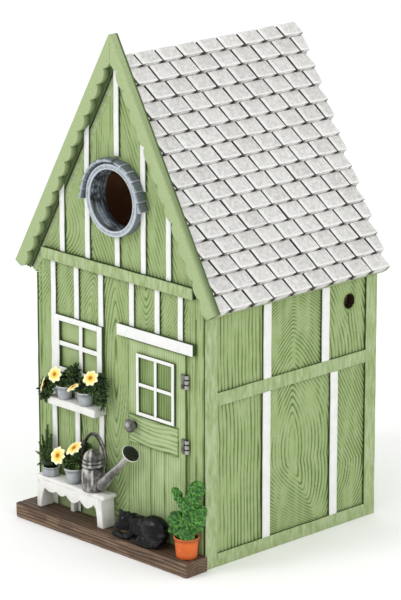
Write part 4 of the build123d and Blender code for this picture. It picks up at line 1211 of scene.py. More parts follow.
rolls = []
for i in range(ROLLS):
    a, b = -1 + 2 * i / ROLLS, -1 + 2 * (i + 1) / ROLLS
    top, foot = (a, b) if a + b > 0 else (b, a)
    lap = 0.03 if foot > 0 else -0.03
    rolls.append(roll_tile(top - lap, foot + lap))
hood = join(rolls, "hood_of_rolls")
only(hood)
bpy.ops.object.mode_set(mode="EDIT")
bpy.ops.mesh.select_all(action="SELECT")
bpy.ops.mesh.normals_make_consistent(inside=False)
done()
fit(settle(hood, "hood_of_rolls", pewter_paint, smooth=50), "pewter", "entrance_hood")

# %% [markdown]
# The knob is a turned ball on a short neck. The two hinges on the front door are only modelled
# for looks, as on the real piece: a leaf and a knuckle of three barrels with the wash between them.

# %% Knob and hinges
knob_low, knob_high = area("door_knob")
knob_centre = (knob_low + knob_high) / 2
knob_r = (knob_high[0] - knob_low[0]) / 2
knob_depth = knob_high[1] - knob_low[1]
profile = [(0, 0), (knob_r * 0.55, 0), (knob_r * 0.5, knob_depth * 0.18)]
profile += [(knob_r * math.cos(a), knob_depth * (0.6 + 0.4 * math.sin(a)))
            for a in np.linspace(-0.95, 1.5, 10)]
profile += [(0, knob_depth)]
knob = turned(profile, (knob_centre[0], knob_high[1], knob_centre[2]), axis=(0, -1, 0), steps=32)
co = points(knob) / MM
# The knob is painted darker on its half towards the door, as shade, and light in one spot above and left of
# its middle, as a painted glint.
from_glint = np.hypot(co[:, 0] - knob_centre[0] + 0.5, co[:, 2] - knob_centre[2] - 0.8)
write_wash_and_painted_light(knob, np.clip((co[:, 1] - knob_low[1] - knob_depth * 0.5) / 1.5, 0, 1)
           - 0.7 * np.clip(1 - from_glint / 2, 0, 1))
fit(settle(knob, "round_door_knob", old_pewter, smooth=60), "old_pewter", "door_knob")

HINGE_LEAF_W = 2.2       # mm
BARRELS = 3
PIN_OUT = 1.25           # mm from the hinge's foremost side to its pin
hinges = []
for low, high in solids("door_straps"):
    if high[0] - low[0] > 3:
        low = np.array((high[0] - HINGE_LEAF_W, low[1], low[2]))
        hinges.append(timber(low, high, "front", bevel=0.25, step=2.5, wash_line=0.35))
    else:
        centre = (low + high) / 2
        run = (high[2] - low[2]) / 2
        knuckle = [(0, -run)]
        for k in range(BARRELS):
            base = -run + 2 * run * k / BARRELS
            top = base + 2 * run / BARRELS
            knuckle += [(0.75, base + 0.1), (1.2, base + 0.5), (1.2, top - 0.5), (0.75, top - 0.1)]
        knuckle += [(0, run)]
        barrel = turned(knuckle, (centre[0], low[1] + PIN_OUT, centre[2]), steps=20)
        x, y, _ = points(barrel).T / MM
        radius = np.hypot(x - centre[0], y - low[1] - PIN_OUT)
        write_wash_and_painted_light(barrel, np.where(radius < 0.9, 1.0, -0.4))
        hinges.append(barrel)
hinge_pair = settle(join(hinges, "front_door_hinges"), "front_door_hinges", old_pewter, smooth=45)
fit(hinge_pair, "old_pewter", "door_straps")

# %% [markdown]
# Flower pots are turned: a flared wall, a rolled rim and soil a little below it. The fern stands in a low
# lumpy bowl, and the little tree in an orange pot. Soil is a second, dark material on the pot's top faces.

# %% Pots
POT_TURNS = 40
leaf_soil = painted_resin("dark_earth_in_pots", "#2B221A", "#3A3026", "#17120D", mottle=1.5, grit=0.8)
petal_paint = painted_resin("yellow_paint_on_petals", "#F0CE3E", "#F6E07A", "#D98A1E", mottle=2.5,
                            roughness=0.6, grit=0.1, edge="#FBF6CF")
heart_paint = painted_resin("orange_paint_on_flower_hearts", "#DC8A26", "#EDA93C", "#A9520F", mottle=1.0,
                            roughness=0.6, grit=0.6, edge="#F6C766")


def flower_pot(name, material, node_name, index, flare=0.72, rim=1.5, ripple=0.0):
    """Turned pot in the space of one solid of a CAD node."""
    low, high = solids(node_name)[index]
    centre, height, radius = (low + high) / 2, high[2] - low[2], (high[0] - low[0]) / 2
    soil = height - 1.0
    wall = [(0, 0), (radius * flare, 0), (radius * flare + 0.3, 0.4)]
    wall += [(radius * (flare + (0.93 - flare) * s ** 0.8), height * s) for s in (0.2, 0.4, 0.6, 0.75)]
    wall += [(radius * 0.93, height - rim), (radius * 0.99, height - rim + 0.3), (radius, height - 0.5),
             (radius * 0.97, height - 0.05), (radius * 0.9, height - 0.1), (radius * 0.86, soil), (0, soil)]
    made = turned(wall, (centre[0], centre[1], low[2]), steps=POT_TURNS)
    co = points(made) / MM
    away = co[:, :2] - centre[:2]
    angle = np.arctan2(away[:, 1], away[:, 0])
    bulge = 1 + 0.012 * noise(9 + 3 * np.cos(angle), 9 + 3 * np.sin(angle), 1, 1, 401)
    bulge = bulge + ripple * np.abs(np.sin(angle * 4))
    co[:, :2] = centre[:2] + away * np.minimum(bulge, 1.0 + ripple)[:, None]
    move_to(made, co * MM)
    up = (co[:, 2] - low[2]) / height
    r = np.hypot(*away.T) / radius
    under_rim = np.exp(-((co[:, 2] - high[2] + rim) / 0.4) ** 2) * (r > 0.85)
    write_wash_and_painted_light(made, 0.55 * np.clip(0.25 - up, 0, 1) * 3 + 0.6 * under_rim - 0.7 * ((up > 0.97) & (r > 0.9)))
    settle(made, name, material, smooth=50)
    made.data.materials.append(leaf_soil)
    for face in made.data.polygons:
        x, y, z = face.center / MM
        if z > high[2] - 1.2 and math.hypot(x - centre[0], y - centre[1]) < radius * 0.86:
            face.material_index = 1
    return made


pots = [flower_pot("shelf_pot", pot_grey, "shelf_pots", i) for i in (0, 1)]
shelf_pot_pair = join(pots, "shelf_flower_pots")
fit(shelf_pot_pair, "pot_grey", "shelf_pots")
fit(flower_pot("bench_flower_pot", pot_grey, "bench_pot", 0, flare=0.6), "pot_grey", "bench_pot")
fit(flower_pot("fern_bowl", pot_grey, "fern_pot", 0, flare=0.92, rim=0.6, ripple=0.1), "pot_grey",
    "fern_pot")
fit(flower_pot("orange_tree_pot", terracotta, "topiary_pot", 0, flare=0.78, rim=0.7), "pot_orange",
    "topiary_pot")

# %% [markdown]
# The bushes are cast as a mass of small pointed leaves. One leaf is a grid folded along its middle,
# narrowed to a point at both ends and given thickness. Hundreds of copies stand out of a few dark
# lumps, so a leaf has only a few dozen faces. A displaced ball alone would look like moss.

# %% Leaves


def leaf_blank(length, width, droop=0.25, fold=0.35, thick=0.22):
    """Leaf that grows along +X from the origin, in millimetres."""
    bpy.ops.object.select_all(action="DESELECT")
    bpy.ops.mesh.primitive_grid_add(x_subdivisions=5, y_subdivisions=2, size=1)
    leaf = bpy.context.object
    co = points(leaf)
    along, across = co[:, 0] + 0.5, co[:, 1] * 2
    half = width / 2 * (0.12 + 0.88 * np.sin(np.pi * along ** 0.8) ** 0.8) * (along < 0.99) + 0.04
    z = np.abs(across) * half * fold - droop * length * along ** 2
    move_to(leaf, np.stack([along * length, across * half, z], axis=1) * MM)
    apply_modifier(leaf, "SOLIDIFY", thickness=thick * MM, offset=0.0)
    return leaf


def copy_at(blank, place, out, size, roll, wash):
    """Copy of a blank that grows from a place in a direction; wash is a value for each point."""
    out = Vector(out).normalized()
    turn = out.to_track_quat("X", "Z").to_matrix() @ Matrix.Rotation(roll, 3, "X")
    made = blank.copy()
    made.data = blank.data.copy()
    bpy.context.collection.objects.link(made)
    move_to(made, points(blank) * size @ np.array(turn).T + np.array(place, float) * MM)
    write_wash_and_painted_light(made, wash)
    return made


def lump(centre, radii, seed, rough=0.18, size=1.6, level=3):
    """Dark uneven ball for the inside of a bush."""
    bpy.ops.object.select_all(action="DESELECT")
    bpy.ops.mesh.primitive_ico_sphere_add(subdivisions=level, radius=1)
    ball = bpy.context.object
    co = points(ball)
    bumps = noise(co[:, 0] * 10 + 40, co[:, 1] * 10 + 17 * co[:, 2] + 60, size, size, seed)
    co = co * (1 + rough * bumps)[:, None]
    move_to(ball, (co * np.array(radii) + np.array(centre)) * MM)
    write_wash_and_painted_light(ball, 0.75 - 0.5 * bumps)
    return ball


def bush(name, lumps, count, blank, seed, spread=0.55, up=0.35):
    """Leaves over a few lumps, (x, y, z, radius) each; y is measured from the wall's face."""
    rng = random.Random(seed)
    total = sum(r * r for *_, r in lumps)
    length = points(blank)[:, 0].max() / MM
    pieces = []
    for k, (x, y, z, r) in enumerate(lumps):
        centre = np.array((x, FRONT_FACE + y, z))
        pieces.append(lump(centre, (r * 0.72,) * 3, seed + k, level=2))
        for _ in range(round(count * r * r / total)):
            out = Vector((rng.gauss(0, 1), rng.gauss(-0.35, 1), rng.gauss(0.25, 1))).normalized()
            start = centre + np.array(out) * r * rng.uniform(0.5, 0.8)
            grow = out + Vector((rng.uniform(-1, 1), rng.uniform(-1, 1), rng.uniform(-1, 1) + up)) * spread
            size = rng.uniform(0.75, 1.25)
            tip = start + np.array(grow.normalized()) * length * size
            if max(start[1], tip[1]) > FRONT_FACE - 1.6:
                continue
            tone = rng.uniform(-0.35, 0.55)
            along = points(blank)[:, 0] / MM / length
            pieces.append(copy_at(blank, start, grow, size, rng.uniform(-0.8, 0.8),
                                  tone + 0.55 - 0.8 * along))
    whole = join(pieces, name)
    return settle(whole, name, leaf_dark, smooth=60)


small_leaf = leaf_blank(2.3, 1.15)
SHELF_LUMPS = [(-36.5, -5.4, 80.5, 4.6), (-30.5, -5.2, 83.0, 4.6), (-29.0, -4.9, 87.2, 3.2),
               (-41.0, -6.4, 80.0, 3.2), (-45.8, -8.0, 76.8, 4.0), (-48.6, -8.0, 72.4, 3.8),
               (-49.6, -7.0, 69.0, 2.6), (-20.5, -5.8, 80.2, 4.6), (-14.0, -5.2, 82.0, 4.6),
               (-9.6, -4.4, 85.6, 4.2), (-8.4, -4.2, 81.2, 3.4), (-7.6, -5.2, 76.8, 2.8),
               (-7.4, -5.2, 73.6, 2.2)]
fit(bush("shelf_bushes", SHELF_LUMPS, 900, small_leaf, 31), "leaf_dark", "shelf_plants")
BENCH_LUMPS = [(-28.5, -6.8, 36.8, 4.8), (-33.0, -6.4, 37.6, 3.4), (-24.4, -6.2, 38.6, 3.8),
               (-23.0, -4.8, 43.4, 3.6), (-22.0, -4.2, 47.2, 2.8)]
fit(bush("bench_bush", BENCH_LUMPS, 380, small_leaf, 57), "leaf_dark", "bench_plant")
bpy.data.objects.remove(small_leaf)

# %% [markdown]
# The fern is a few upright fronds. A frond is a bent stem with pairs of narrow leaflets that get
# shorter towards its tip.

# %% Fern
LEAFLET = 3.4            # mm
narrow_leaf = leaf_blank(LEAFLET, 1.25, droop=0.15)
narrow_along = points(narrow_leaf)[:, 0] / MM / LEAFLET
fern_rng = random.Random(8)
fern_parts = [lump((-49.2, FRONT_FACE - 5.6, 32.4), (4.4, 3.6, 2.4), 71, level=2)]
# root and tip of each frond; y is measured from the wall's face
FRONDS = [((-50.0, -5.4, 31.0), (-51.6, -4.4, 51.5)), ((-51.2, -5.4, 31.0), (-55.4, -4.8, 45.0)),
          ((-49.0, -5.6, 31.0), (-47.6, -5.2, 44.0)), ((-51.5, -6.0, 31.0), (-57.4, -7.4, 36.4)),
          ((-48.5, -6.4, 31.0), (-44.2, -8.4, 37.4)), ((-50.0, -7.0, 31.0), (-51.5, -11.0, 38.6)),
          ((-52.0, -6.0, 31.0), (-58.0, -6.0, 28.8)),
          ((-51.0, -6.2, 31.0), (-54.4, -7.6, 42.0)), ((-49.0, -6.2, 31.0), (-46.0, -7.4, 40.0)),
          ((-50.4, -4.6, 31.0), (-53.4, -3.6, 48.0)), ((-49.4, -5.0, 31.0), (-49.0, -4.0, 47.0))]
for root, tip in FRONDS:
    root, tip = np.array(root), np.array(tip)
    root[1] += FRONT_FACE
    tip[1] += FRONT_FACE
    run = np.linalg.norm(tip - root)
    pairs = max(7, round(run / 0.8))
    for k in range(pairs + 1):
        share = k / pairs
        spot = root + (tip - root) * share + np.array((0, 0, 1.4)) * math.sin(math.pi * share) * 0.6
        ahead = Vector(tip - root).normalized()
        for hand in (-1, 1):
            sideways = Vector((hand, -0.25, 0)) + ahead * (0.8 + share)
            size = (1.15 - 0.75 * share) * fern_rng.uniform(0.85, 1.1)
            if run < 9:
                size = size * 0.8
            fern_parts.append(copy_at(narrow_leaf, spot, sideways, size, fern_rng.uniform(-0.5, 0.5),
                                      0.35 - 0.7 * narrow_along + fern_rng.uniform(-0.2, 0.2)))
fern_piece = join(fern_parts, "fern_fronds")
fern_co = points(fern_piece)
fern_co[:, 1] = np.minimum(fern_co[:, 1], (FRONT_FACE - 1.5) * MM)
move_to(fern_piece, fern_co)
fit(settle(fern_piece, "fern_fronds", leaf_dark, smooth=60), "leaf_dark", "fern")
bpy.data.objects.remove(narrow_leaf)

# %% [markdown]
# The daisies have eight blunt petals round a bumpy heart. A petal is one small curved grid, and each
# flower is eight turned copies that look the way the flower faces. Paint is deeper at the root of
# each petal and nearly white at its rim.

# %% Daisies
PETALS = 8


def petal_blank(radius):
    bpy.ops.object.select_all(action="DESELECT")
    bpy.ops.mesh.primitive_grid_add(x_subdivisions=6, y_subdivisions=4, size=1)
    petal = bpy.context.object
    co = points(petal)
    along, across = co[:, 0] + 0.5, co[:, 1] * 2
    half = radius * (0.11 + 0.20 * np.sin(np.pi * np.clip(along * 0.86, 0, 1)) ** 0.8)
    half = half * np.where(along > 0.97, 0.62, 1.0)
    reach = radius * (0.12 + 0.88 * along * (1 - 0.07 * across ** 2))
    z = radius * (0.10 + 0.16 * along - 0.20 * along ** 2 + 0.07 * across ** 2)
    move_to(petal, np.stack([reach, across * half, z], axis=1) * MM)
    apply_modifier(petal, "SOLIDIFY", thickness=0.35 * MM, offset=0.0)
    return petal


def daisies(name, heads, radius, seed):
    """Flowers at (x, y, z, look); look is the direction that a flower faces."""
    rng = random.Random(seed)
    petal = petal_blank(radius)
    co = points(petal)
    along = co[:, 0] / MM / radius
    across = np.abs(co[:, 1]) / MM / radius
    shade = np.clip(1.0 - along * 2.2, 0, 0.8) - np.clip(along * 1.7 - 0.75, 0, 0.9) - 1.1 * across
    petals, hearts = [], []
    for x, y, z, look in heads:
        centre = np.array((x, FRONT_FACE + y, z))
        look = Vector(look).normalized()
        turn = look.to_track_quat("Z", "Y").to_matrix()
        start = rng.uniform(0, 1)
        for k in range(PETALS):
            spin = Matrix.Rotation(math.tau * (k + start) / PETALS + rng.uniform(-0.06, 0.06), 3, "Z")
            made = petal.copy()
            made.data = petal.data.copy()
            bpy.context.collection.objects.link(made)
            size = rng.uniform(0.92, 1.04)
            move_to(made, co * size @ np.array(turn @ spin).T + centre * MM)
            write_wash_and_painted_light(made, shade)
            petals.append(made)
        heart = lump((0, 0, 0), (radius * 0.23, radius * 0.23, radius * 0.18), seed + 5, rough=0.12, size=0.9)
        place = centre + np.array(look) * radius * 0.12
        move_to(heart, points(heart) @ np.array(turn).T + place * MM)
        hearts.append(heart)
    bpy.data.objects.remove(petal)
    for heart in hearts:
        heart.data.materials.clear()
        heart.data.materials.append(heart_paint)
    whole = settle(join(petals, name), name, petal_paint, smooth=60)
    hearts_piece = settle(join(hearts, name + "_hearts"), name + "_hearts", heart_paint, smooth=60)
    return whole, hearts_piece


shelf_blooms, shelf_hearts = daisies("shelf_daisies", [
    (-45.6, -12.0, 77.6, (-0.75, -0.62, 0.25)), (-36.8, -11.6, 84.9, (0.15, -0.9, 0.40)),
    (-23.0, -11.2, 80.6, (-0.35, -0.35, 0.85)), (-10.4, -10.6, 88.4, (0.30, -0.75, 0.60))], 4.3, 41)
fit(shelf_blooms, "petal", "shelf_flowers")
fit(shelf_hearts, "petal")
bench_blooms, bench_hearts = daisies("bench_daisies", [
    (-34.4, -12.2, 41.0, (0.10, -0.90, 0.40)), (-23.4, -10.6, 47.0, (-0.15, -0.55, 0.80))], 5.0, 43)
fit(bench_blooms, "petal", "bench_flowers")
fit(bench_hearts, "petal")

# %% [markdown]
# The bench is cut from boards: a seat, two end slabs, the right one leaning out to its foot, and an
# apron in front whose lower edge waves and runs down into the legs. The apron is drawn as one
# outline, like the bargeboards, because saw-cut shapes are flat shapes with thickness.

# %% Bench
seat_low, seat_high = area("bench_seat")
seat = timber(seat_low, seat_high, "top", bevel=0.7, step=2.0, waver=0.2, wash_line=0.0)
co = points(seat) / MM
co[:, 2] += 0.18 * noise(co[:, 0], co[:, 1], 5, 3, 331) - 0.18
move_to(seat, co * MM)
write_wash_and_painted_light(seat, 0.25 * noise(co[:, 0], co[:, 1], 4, 4, 332))
fit(settle(seat, "bench_top_board", bench_white, smooth=40), "bench_white", "bench_seat")

END_T = 3.0              # mm
ends = []
for low, high in solids("bench_ends"):
    lean = high[0] - low[0] - END_T
    slab = timber(low, (low[0] + END_T, high[1], high[2]), "right", bevel=0.5, step=2.0, waver=0.15,
                  wash_line=0.0)
    co = points(slab) / MM
    drop = (high[2] - co[:, 2]) / (high[2] - low[2])
    co[:, 0] += lean * drop
    co[:, 1] += np.where(co[:, 1] > (low[1] + high[1]) / 2, -1.0 * drop, 0.0)
    move_to(slab, co * MM)
    # The end slabs are painted a little greyer than the seat, as shade, with patches of random tone.
    write_wash_and_painted_light(slab, np.clip(0.2 + 0.2 * noise(co[:, 1], co[:, 2], 3, 4, 333), 0, 1))
    ends.append(slab)
rear_leg = timber((-34.2, FRONT_FACE - 4.4, 8.3), (-31.4, FRONT_FACE - 2.0, 23.9), "front", bevel=0.4,
                  wash_line=0.0)
# The rear leg, behind the apron, is painted greyer as shade.
write_wash_and_painted_light(rear_leg, np.full(len(rear_leg.data.vertices), 0.3))
fit(settle(join(ends + [rear_leg], "bench_legs"), "bench_legs", bench_white, smooth=40), "bench_white",
    "bench_ends")


APRON_RIGHT = -2.9
APRON_LEG = 3.6
APRON_UP = 11.4          # mm from the feet to the crests of the waved edge


def apron_outline():
    """(x, z) points round the apron with its two front legs."""
    left, right = seat_low[0] + 0.9, APRON_RIGHT
    top, foot = seat_low[2], step_high[2] + 0.05
    leg = APRON_LEG
    inner_l, inner_r = left + leg, right - leg
    line = [(left, top), (left, foot), (left + leg * 0.75, foot), (inner_l, foot + 6.0)]
    line += [(inner_l + 2.6 * s, foot + 6.0 + 5.4 * math.sin(s * math.pi / 2)) for s in (0.3, 0.6, 1.0)]
    lobes = [(inner_l + 2.6, -38.0, 1.4), (-38.0, -30.6, 1.6), (-30.6, -19.6, 3.0), (-19.6, -9.0, 3.2)]
    for a, b, drop in lobes:
        line += [(a + (b - a) * s, foot + APRON_UP - drop * math.sin(math.pi * s))
                 for s in np.linspace(0.12, 1.0, 8)]
    line += [(inner_r - 0.8, foot + 9.6), (inner_r, foot + 5.5), (inner_r + 0.6, foot)]
    return line + [(right + 0.8, foot), (right, top)]


def outline_board(outline, y0, y1, bevel):
    """Board with an outline of (x, z) points, in millimetres, between two y places."""
    bpy.ops.object.select_all(action="DESELECT")
    bpy.ops.mesh.primitive_circle_add(vertices=len(outline), radius=1, fill_type="NGON")
    board = bpy.context.object
    x, z = np.array(outline).T
    move_to(board, np.stack([x, np.full(len(x), y0), z], axis=1) * MM)
    only(board)
    bpy.ops.object.mode_set(mode="EDIT")
    bpy.ops.mesh.select_all(action="SELECT")
    bpy.ops.mesh.extrude_region_move(TRANSFORM_OT_translate={"value": (0, (y1 - y0) * MM, 0)})
    bpy.ops.mesh.select_all(action="SELECT")
    bpy.ops.mesh.normals_make_consistent(inside=False)
    done()
    return apply_modifier(board, "BEVEL", width=bevel * MM, segments=2, limit_method="ANGLE",
                          angle_limit=math.radians(30))


apron = outline_board(apron_outline(), seat_low[1], seat_low[1] + 1.8, 0.35)
fit(settle(apron, "bench_waved_apron", bench_white, smooth=40), "bench_white", "bench_apron")

# %% [markdown]
# The watering can is painted to look like old pewter: nearly black in its grooves and rubbed bright
# on its edges. Its drum, collar rings and dome are one turned shape. The spout is a cone that
# opens into a rose with small holes, and a strap handle arches over the top.

# %% Watering can
can_low, can_high = area("can_body")
can_centre = np.array(((can_low[0] + can_high[0]) / 2, (can_low[1] + can_high[1]) / 2, can_low[2]))
CAN_R = 6.0              # mm
# drum and collar rings as (share of the radius, height in millimetres)
CAN_OUTLINE = [(0.88, 0), (0.95, 0.5), (0.98, 2.5), (1.0, 6.0), (0.97, 10.0), (0.93, 12.2), (0.86, 12.9),
               (0.86, 13.2), (0.97, 13.7), (0.97, 14.6), (0.88, 15.1), (0.88, 15.4), (0.93, 15.8),
               (0.93, 16.6), (0.82, 17.1)]
drum_profile = [(0, 0)] + [(CAN_R * share, height) for share, height in CAN_OUTLINE]
drum_profile += [(CAN_R * 0.82 * math.cos(a), 17.3 + 4.9 * math.sin(a)) for a in np.linspace(0.1, 1.45, 9)]
drum_profile += [(0, 22.2)]
drum = turned(drum_profile, can_centre, steps=56)
co = points(drum) / MM
r = np.hypot(co[:, 0] - can_centre[0], co[:, 1] - can_centre[1])
up = co[:, 2] - can_low[2]
shade = 0.7 * noise(co[:, 0] * 1.3 + co[:, 1], up, 2.0, 3.0, 341) - 0.15
for ring_up in (13.05, 15.25, 17.1):
    shade = shade + 0.9 * np.exp(-((up - ring_up) / 0.35) ** 2)
shade = shade - 0.5 * np.exp(-((up - 14.2) / 0.5) ** 2) - 0.4 * np.exp(-((up - 16.2) / 0.4) ** 2)
write_wash_and_painted_light(drum, shade + 0.4 * (up < 1.0))
fit(settle(drum, "can_drum_and_dome", old_pewter, smooth=60), "old_pewter", "can_body")

SPOUT_FOOT = np.array((can_centre[0] + 7.2, can_centre[1] + 0.3, can_low[2] + 5.0))
ROSE = np.array((16.8, can_centre[1] - 0.6, 53.4))
spout_run = ROSE - SPOUT_FOOT
spout_len = float(np.linalg.norm(spout_run))
spout_profile = [(0, -2.6), (2.4, -2.4), (3.2, -1.4), (3.1, 0.5), (2.7, 5.0), (2.2, 10.0)]
spout_profile += [(1.8, spout_len * 0.62), (1.6, spout_len - 5.4), (1.8, spout_len - 4.2)]
# the rose flares out, turns round its rim and closes with a shallow dish
spout_profile += [(2.9, spout_len - 1.6), (4.6, spout_len - 0.4), (5.0, spout_len + 0.1),
                  (4.8, spout_len + 0.45), (4.3, spout_len + 0.3), (2.0, spout_len + 0.75),
                  (0, spout_len + 0.9)]
spout = turned(spout_profile, SPOUT_FOOT, axis=tuple(spout_run), steps=48)
co = points(spout) / MM
axis = spout_run / spout_len
along = (co - SPOUT_FOOT) @ axis
off_axis = np.linalg.norm(co - SPOUT_FOOT - np.outer(along, axis), axis=1)
shade = 0.6 * noise(along, co[:, 1] + co[:, 2], 3, 1.5, 343) - 0.1
dish = (along > spout_len + 0.2) & (off_axis < 4.6)
shade = np.where(dish, 0.95, shade) - 0.9 * ((along > spout_len - 1.0) & (off_axis > 4.5))
write_wash_and_painted_light(spout, shade)
settle(spout, "can_spout_and_rose", old_pewter, smooth=60)
hole_turn = Vector((0, 0, 1)).rotation_difference(Vector(axis)).to_matrix()
studs = []
for ring_r, count in ((1.3, 6), (2.6, 12), (3.7, 17)):
    for k in range(count):
        angle = math.tau * (k + ring_r) / count
        local = np.array((ring_r * math.cos(angle), ring_r * math.sin(angle), 0.72 - 0.1 * ring_r))
        stud = lump((0, 0, 0), (0.26, 0.26, 0.2), 3, rough=0.0, level=1)
        move_to(stud, points(stud) + (np.array(hole_turn) @ local + ROSE) * MM)
        write_wash_and_painted_light(stud, np.full(len(stud.data.vertices), 0.3))
        studs.append(stud)
spout = join([spout] + studs, "can_spout_and_rose")
fit(settle(spout, "can_spout_and_rose", old_pewter, smooth=60), "old_pewter", "can_spout")

HANDLE_CENTRE = np.array((can_centre[0] + 0.9, can_centre[1] + 0.2, can_low[2] + 18.2))
HANDLE_HALF = (8.6, 12.8)
bpy.ops.object.select_all(action="DESELECT")
bpy.ops.mesh.primitive_torus_add(major_radius=1.0, minor_radius=0.1, major_segments=72, minor_segments=12,
                                 rotation=(math.pi / 2, 0, 0))
handle = bpy.context.object
bpy.ops.object.transform_apply(location=False, rotation=True, scale=False)
co = points(handle)
angle = np.arctan2(co[:, 2], co[:, 0])
ring = np.hypot(co[:, 0], co[:, 2]) - 1.0
thick = 8.0 * (0.85 + 0.35 * np.sin(np.clip(angle, 0, math.pi)))
pointed = 1 - 0.16 * np.clip(np.sin(angle), 0, 1) ** 2
x = (HANDLE_HALF[0] + ring * thick * 0.9) * np.cos(angle) * pointed
z = (HANDLE_HALF[1] + ring * thick * 0.9) * np.sin(angle)
y = co[:, 1] * thick * 1.5
place = np.stack([x, y, z], axis=1) + HANDLE_CENTRE
move_to(handle, place * MM)
# A thin line along the outer face of the strap, a little towards the front, is painted light as a highlight;
# the rest is painted nearly black, with random patches.
painted_highlight_line = np.exp(-((co[:, 1] / 0.1 + 0.2) / 0.35) ** 2) * (ring > 0)
write_wash_and_painted_light(handle, 0.9 - 1.8 * painted_highlight_line + 0.3 * noise(angle * 6 + 20, ring * 20, 1, 1, 345))
only(handle)
bpy.ops.object.mode_set(mode="EDIT")
bpy.ops.mesh.select_all(action="SELECT")
bpy.ops.mesh.bisect(plane_co=tuple((HANDLE_CENTRE + np.array((0, 0, -5.0))) * MM), plane_no=(0.18, 0, -1),
                    clear_outer=True, use_fill=True)
done()
fit(settle(handle, "can_arched_handle", old_pewter, smooth=60), "old_pewter", "can_handle")

# %% [markdown]
# The sleeping cat and the little tree are sculpted lumps. Balls are pressed into each other at the
# places of head, haunch and back, a voxel remesh welds them into one skin, and a smoothing pass
# melts the creases. Sculpting by hand would need a tablet, and this gives the same soft forms.

# %% Sleeping cat
cat_black = painted_resin("gloss_black_paint_on_resin", "#0C0C0D", "#141517", "#050506", mottle=3.0,
                          roughness=0.2, grit=0.1, edge="#55565A", shine=0.14)


def ball(centre, radii, tilt=0.0, pan=0.0):
    """Stretched ball, in millimetres, turned about Y by tilt and about Z by pan, in degrees."""
    bpy.ops.object.select_all(action="DESELECT")
    bpy.ops.mesh.primitive_uv_sphere_add(segments=28, ring_count=16, radius=1)
    made = bpy.context.object
    turn = Matrix.Rotation(math.radians(pan), 3, "Z") @ Matrix.Rotation(math.radians(tilt), 3, "Y")
    move_to(made, (points(made) * np.array(radii) @ np.array(turn).T + np.array(centre)) * MM)
    return made


def tube(path, radii):
    """Chain of balls along points, for legs and tails."""
    path, radii = np.array(path, float), np.array(radii, float)
    made = []
    for i in range(len(path) - 1):
        run = np.linalg.norm(path[i + 1] - path[i])
        for s in np.arange(0, 1, 0.5 / run):
            r = radii[i] * (1 - s) + radii[i + 1] * s
            made.append(ball(path[i] * (1 - s) + path[i + 1] * s, (r, r, r)))
    return made


def weld(parts, name, voxel, smooth_steps):
    whole = join(parts, name)
    apply_modifier(whole, "REMESH", mode="VOXEL", voxel_size=voxel * MM)
    return apply_modifier(whole, "SMOOTH", factor=0.5, iterations=smooth_steps)


GROUND = step_high[2]
# centre, half sizes and tilt; y is measured from the wall's face here and below
CAT_BALLS = [((24.0, -7.0, 14.6), (12.0, 5.4, 6.6), 0), ((34.0, -7.4, 16.0), (9.4, 6.1, 8.0), 0),
             ((35.5, -9.0, 13.0), (6.4, 5.0, 5.0), 0), ((17.6, -6.8, 15.2), (5.4, 4.4, 6.0), 0),
             ((13.2, -8.4, 16.2), (5.2, 4.8, 5.0), 0), ((12.0, -12.2, 14.0), (3.0, 2.6, 2.3), 0),
             ((10.6, -9.2, 20.0), (1.5, 1.1, 2.2), -20), ((16.4, -9.4, 20.4), (1.5, 1.1, 2.3), 16),
             ((29.8, -11.6, 11.2), (4.6, 3.0, 2.6), 0)]
FORELEG = [(20.5, -10.5, 16.0), (21.0, -12.4, 11.5), (17.0, -13.2, 9.9), (8.6, -12.6, 9.6)]
TAIL = [(40.6, -9.5, 12.5), (40.4, -12.4, 10.6), (35.6, -13.8, 9.9), (29.0, -14.0, 9.8),
        (23.5, -13.6, 9.7)]
cat_parts = [ball((x, FRONT_FACE + y, z), radii, tilt) for (x, y, z), radii, tilt in CAT_BALLS]
cat_parts += tube([(x, FRONT_FACE + y, z) for x, y, z in FORELEG], [1.8, 1.7, 1.6, 1.4])
cat_parts += tube([(x, FRONT_FACE + y, z) for x, y, z in TAIL], [1.9, 1.7, 1.5, 1.35, 1.1])
cat_piece = weld(cat_parts, "sleeping_black_cat", 0.34, 5)
co = points(cat_piece) / MM
co[:, 2] = np.maximum(co[:, 2], GROUND + 0.02)
fur = noise(co[:, 0] * 1.0 + co[:, 1], co[:, 2] * 2.2, 0.9, 2.2, 351)
co[:, 1] -= 0.03 * fur * (co[:, 2] > GROUND + 0.5)
move_to(cat_piece, co * MM)
# Light patches on the front of the cat are painted sheen, standing in for reflections on the glossy black
# paint.
painted_sheen = noise(co[:, 0], co[:, 2], 3.2, 2.6, 352)
in_front = co[:, 1] < FRONT_FACE - 9
write_wash_and_painted_light(cat_piece, -0.55 * np.clip(painted_sheen - 0.35, 0, 1) * in_front - 0.05 * np.clip(fur, 0, 1))
fit(settle(cat_piece, "sleeping_black_cat", cat_black, smooth=80), "cat_black", "sleeping_cat")

# %% [markdown]
# The little tree is clipped into lobes like a cactus. Its surface is crumbly: after the weld it is
# subdivided once and pushed in and out by fine noise, bright on the crumbs and dark between them.

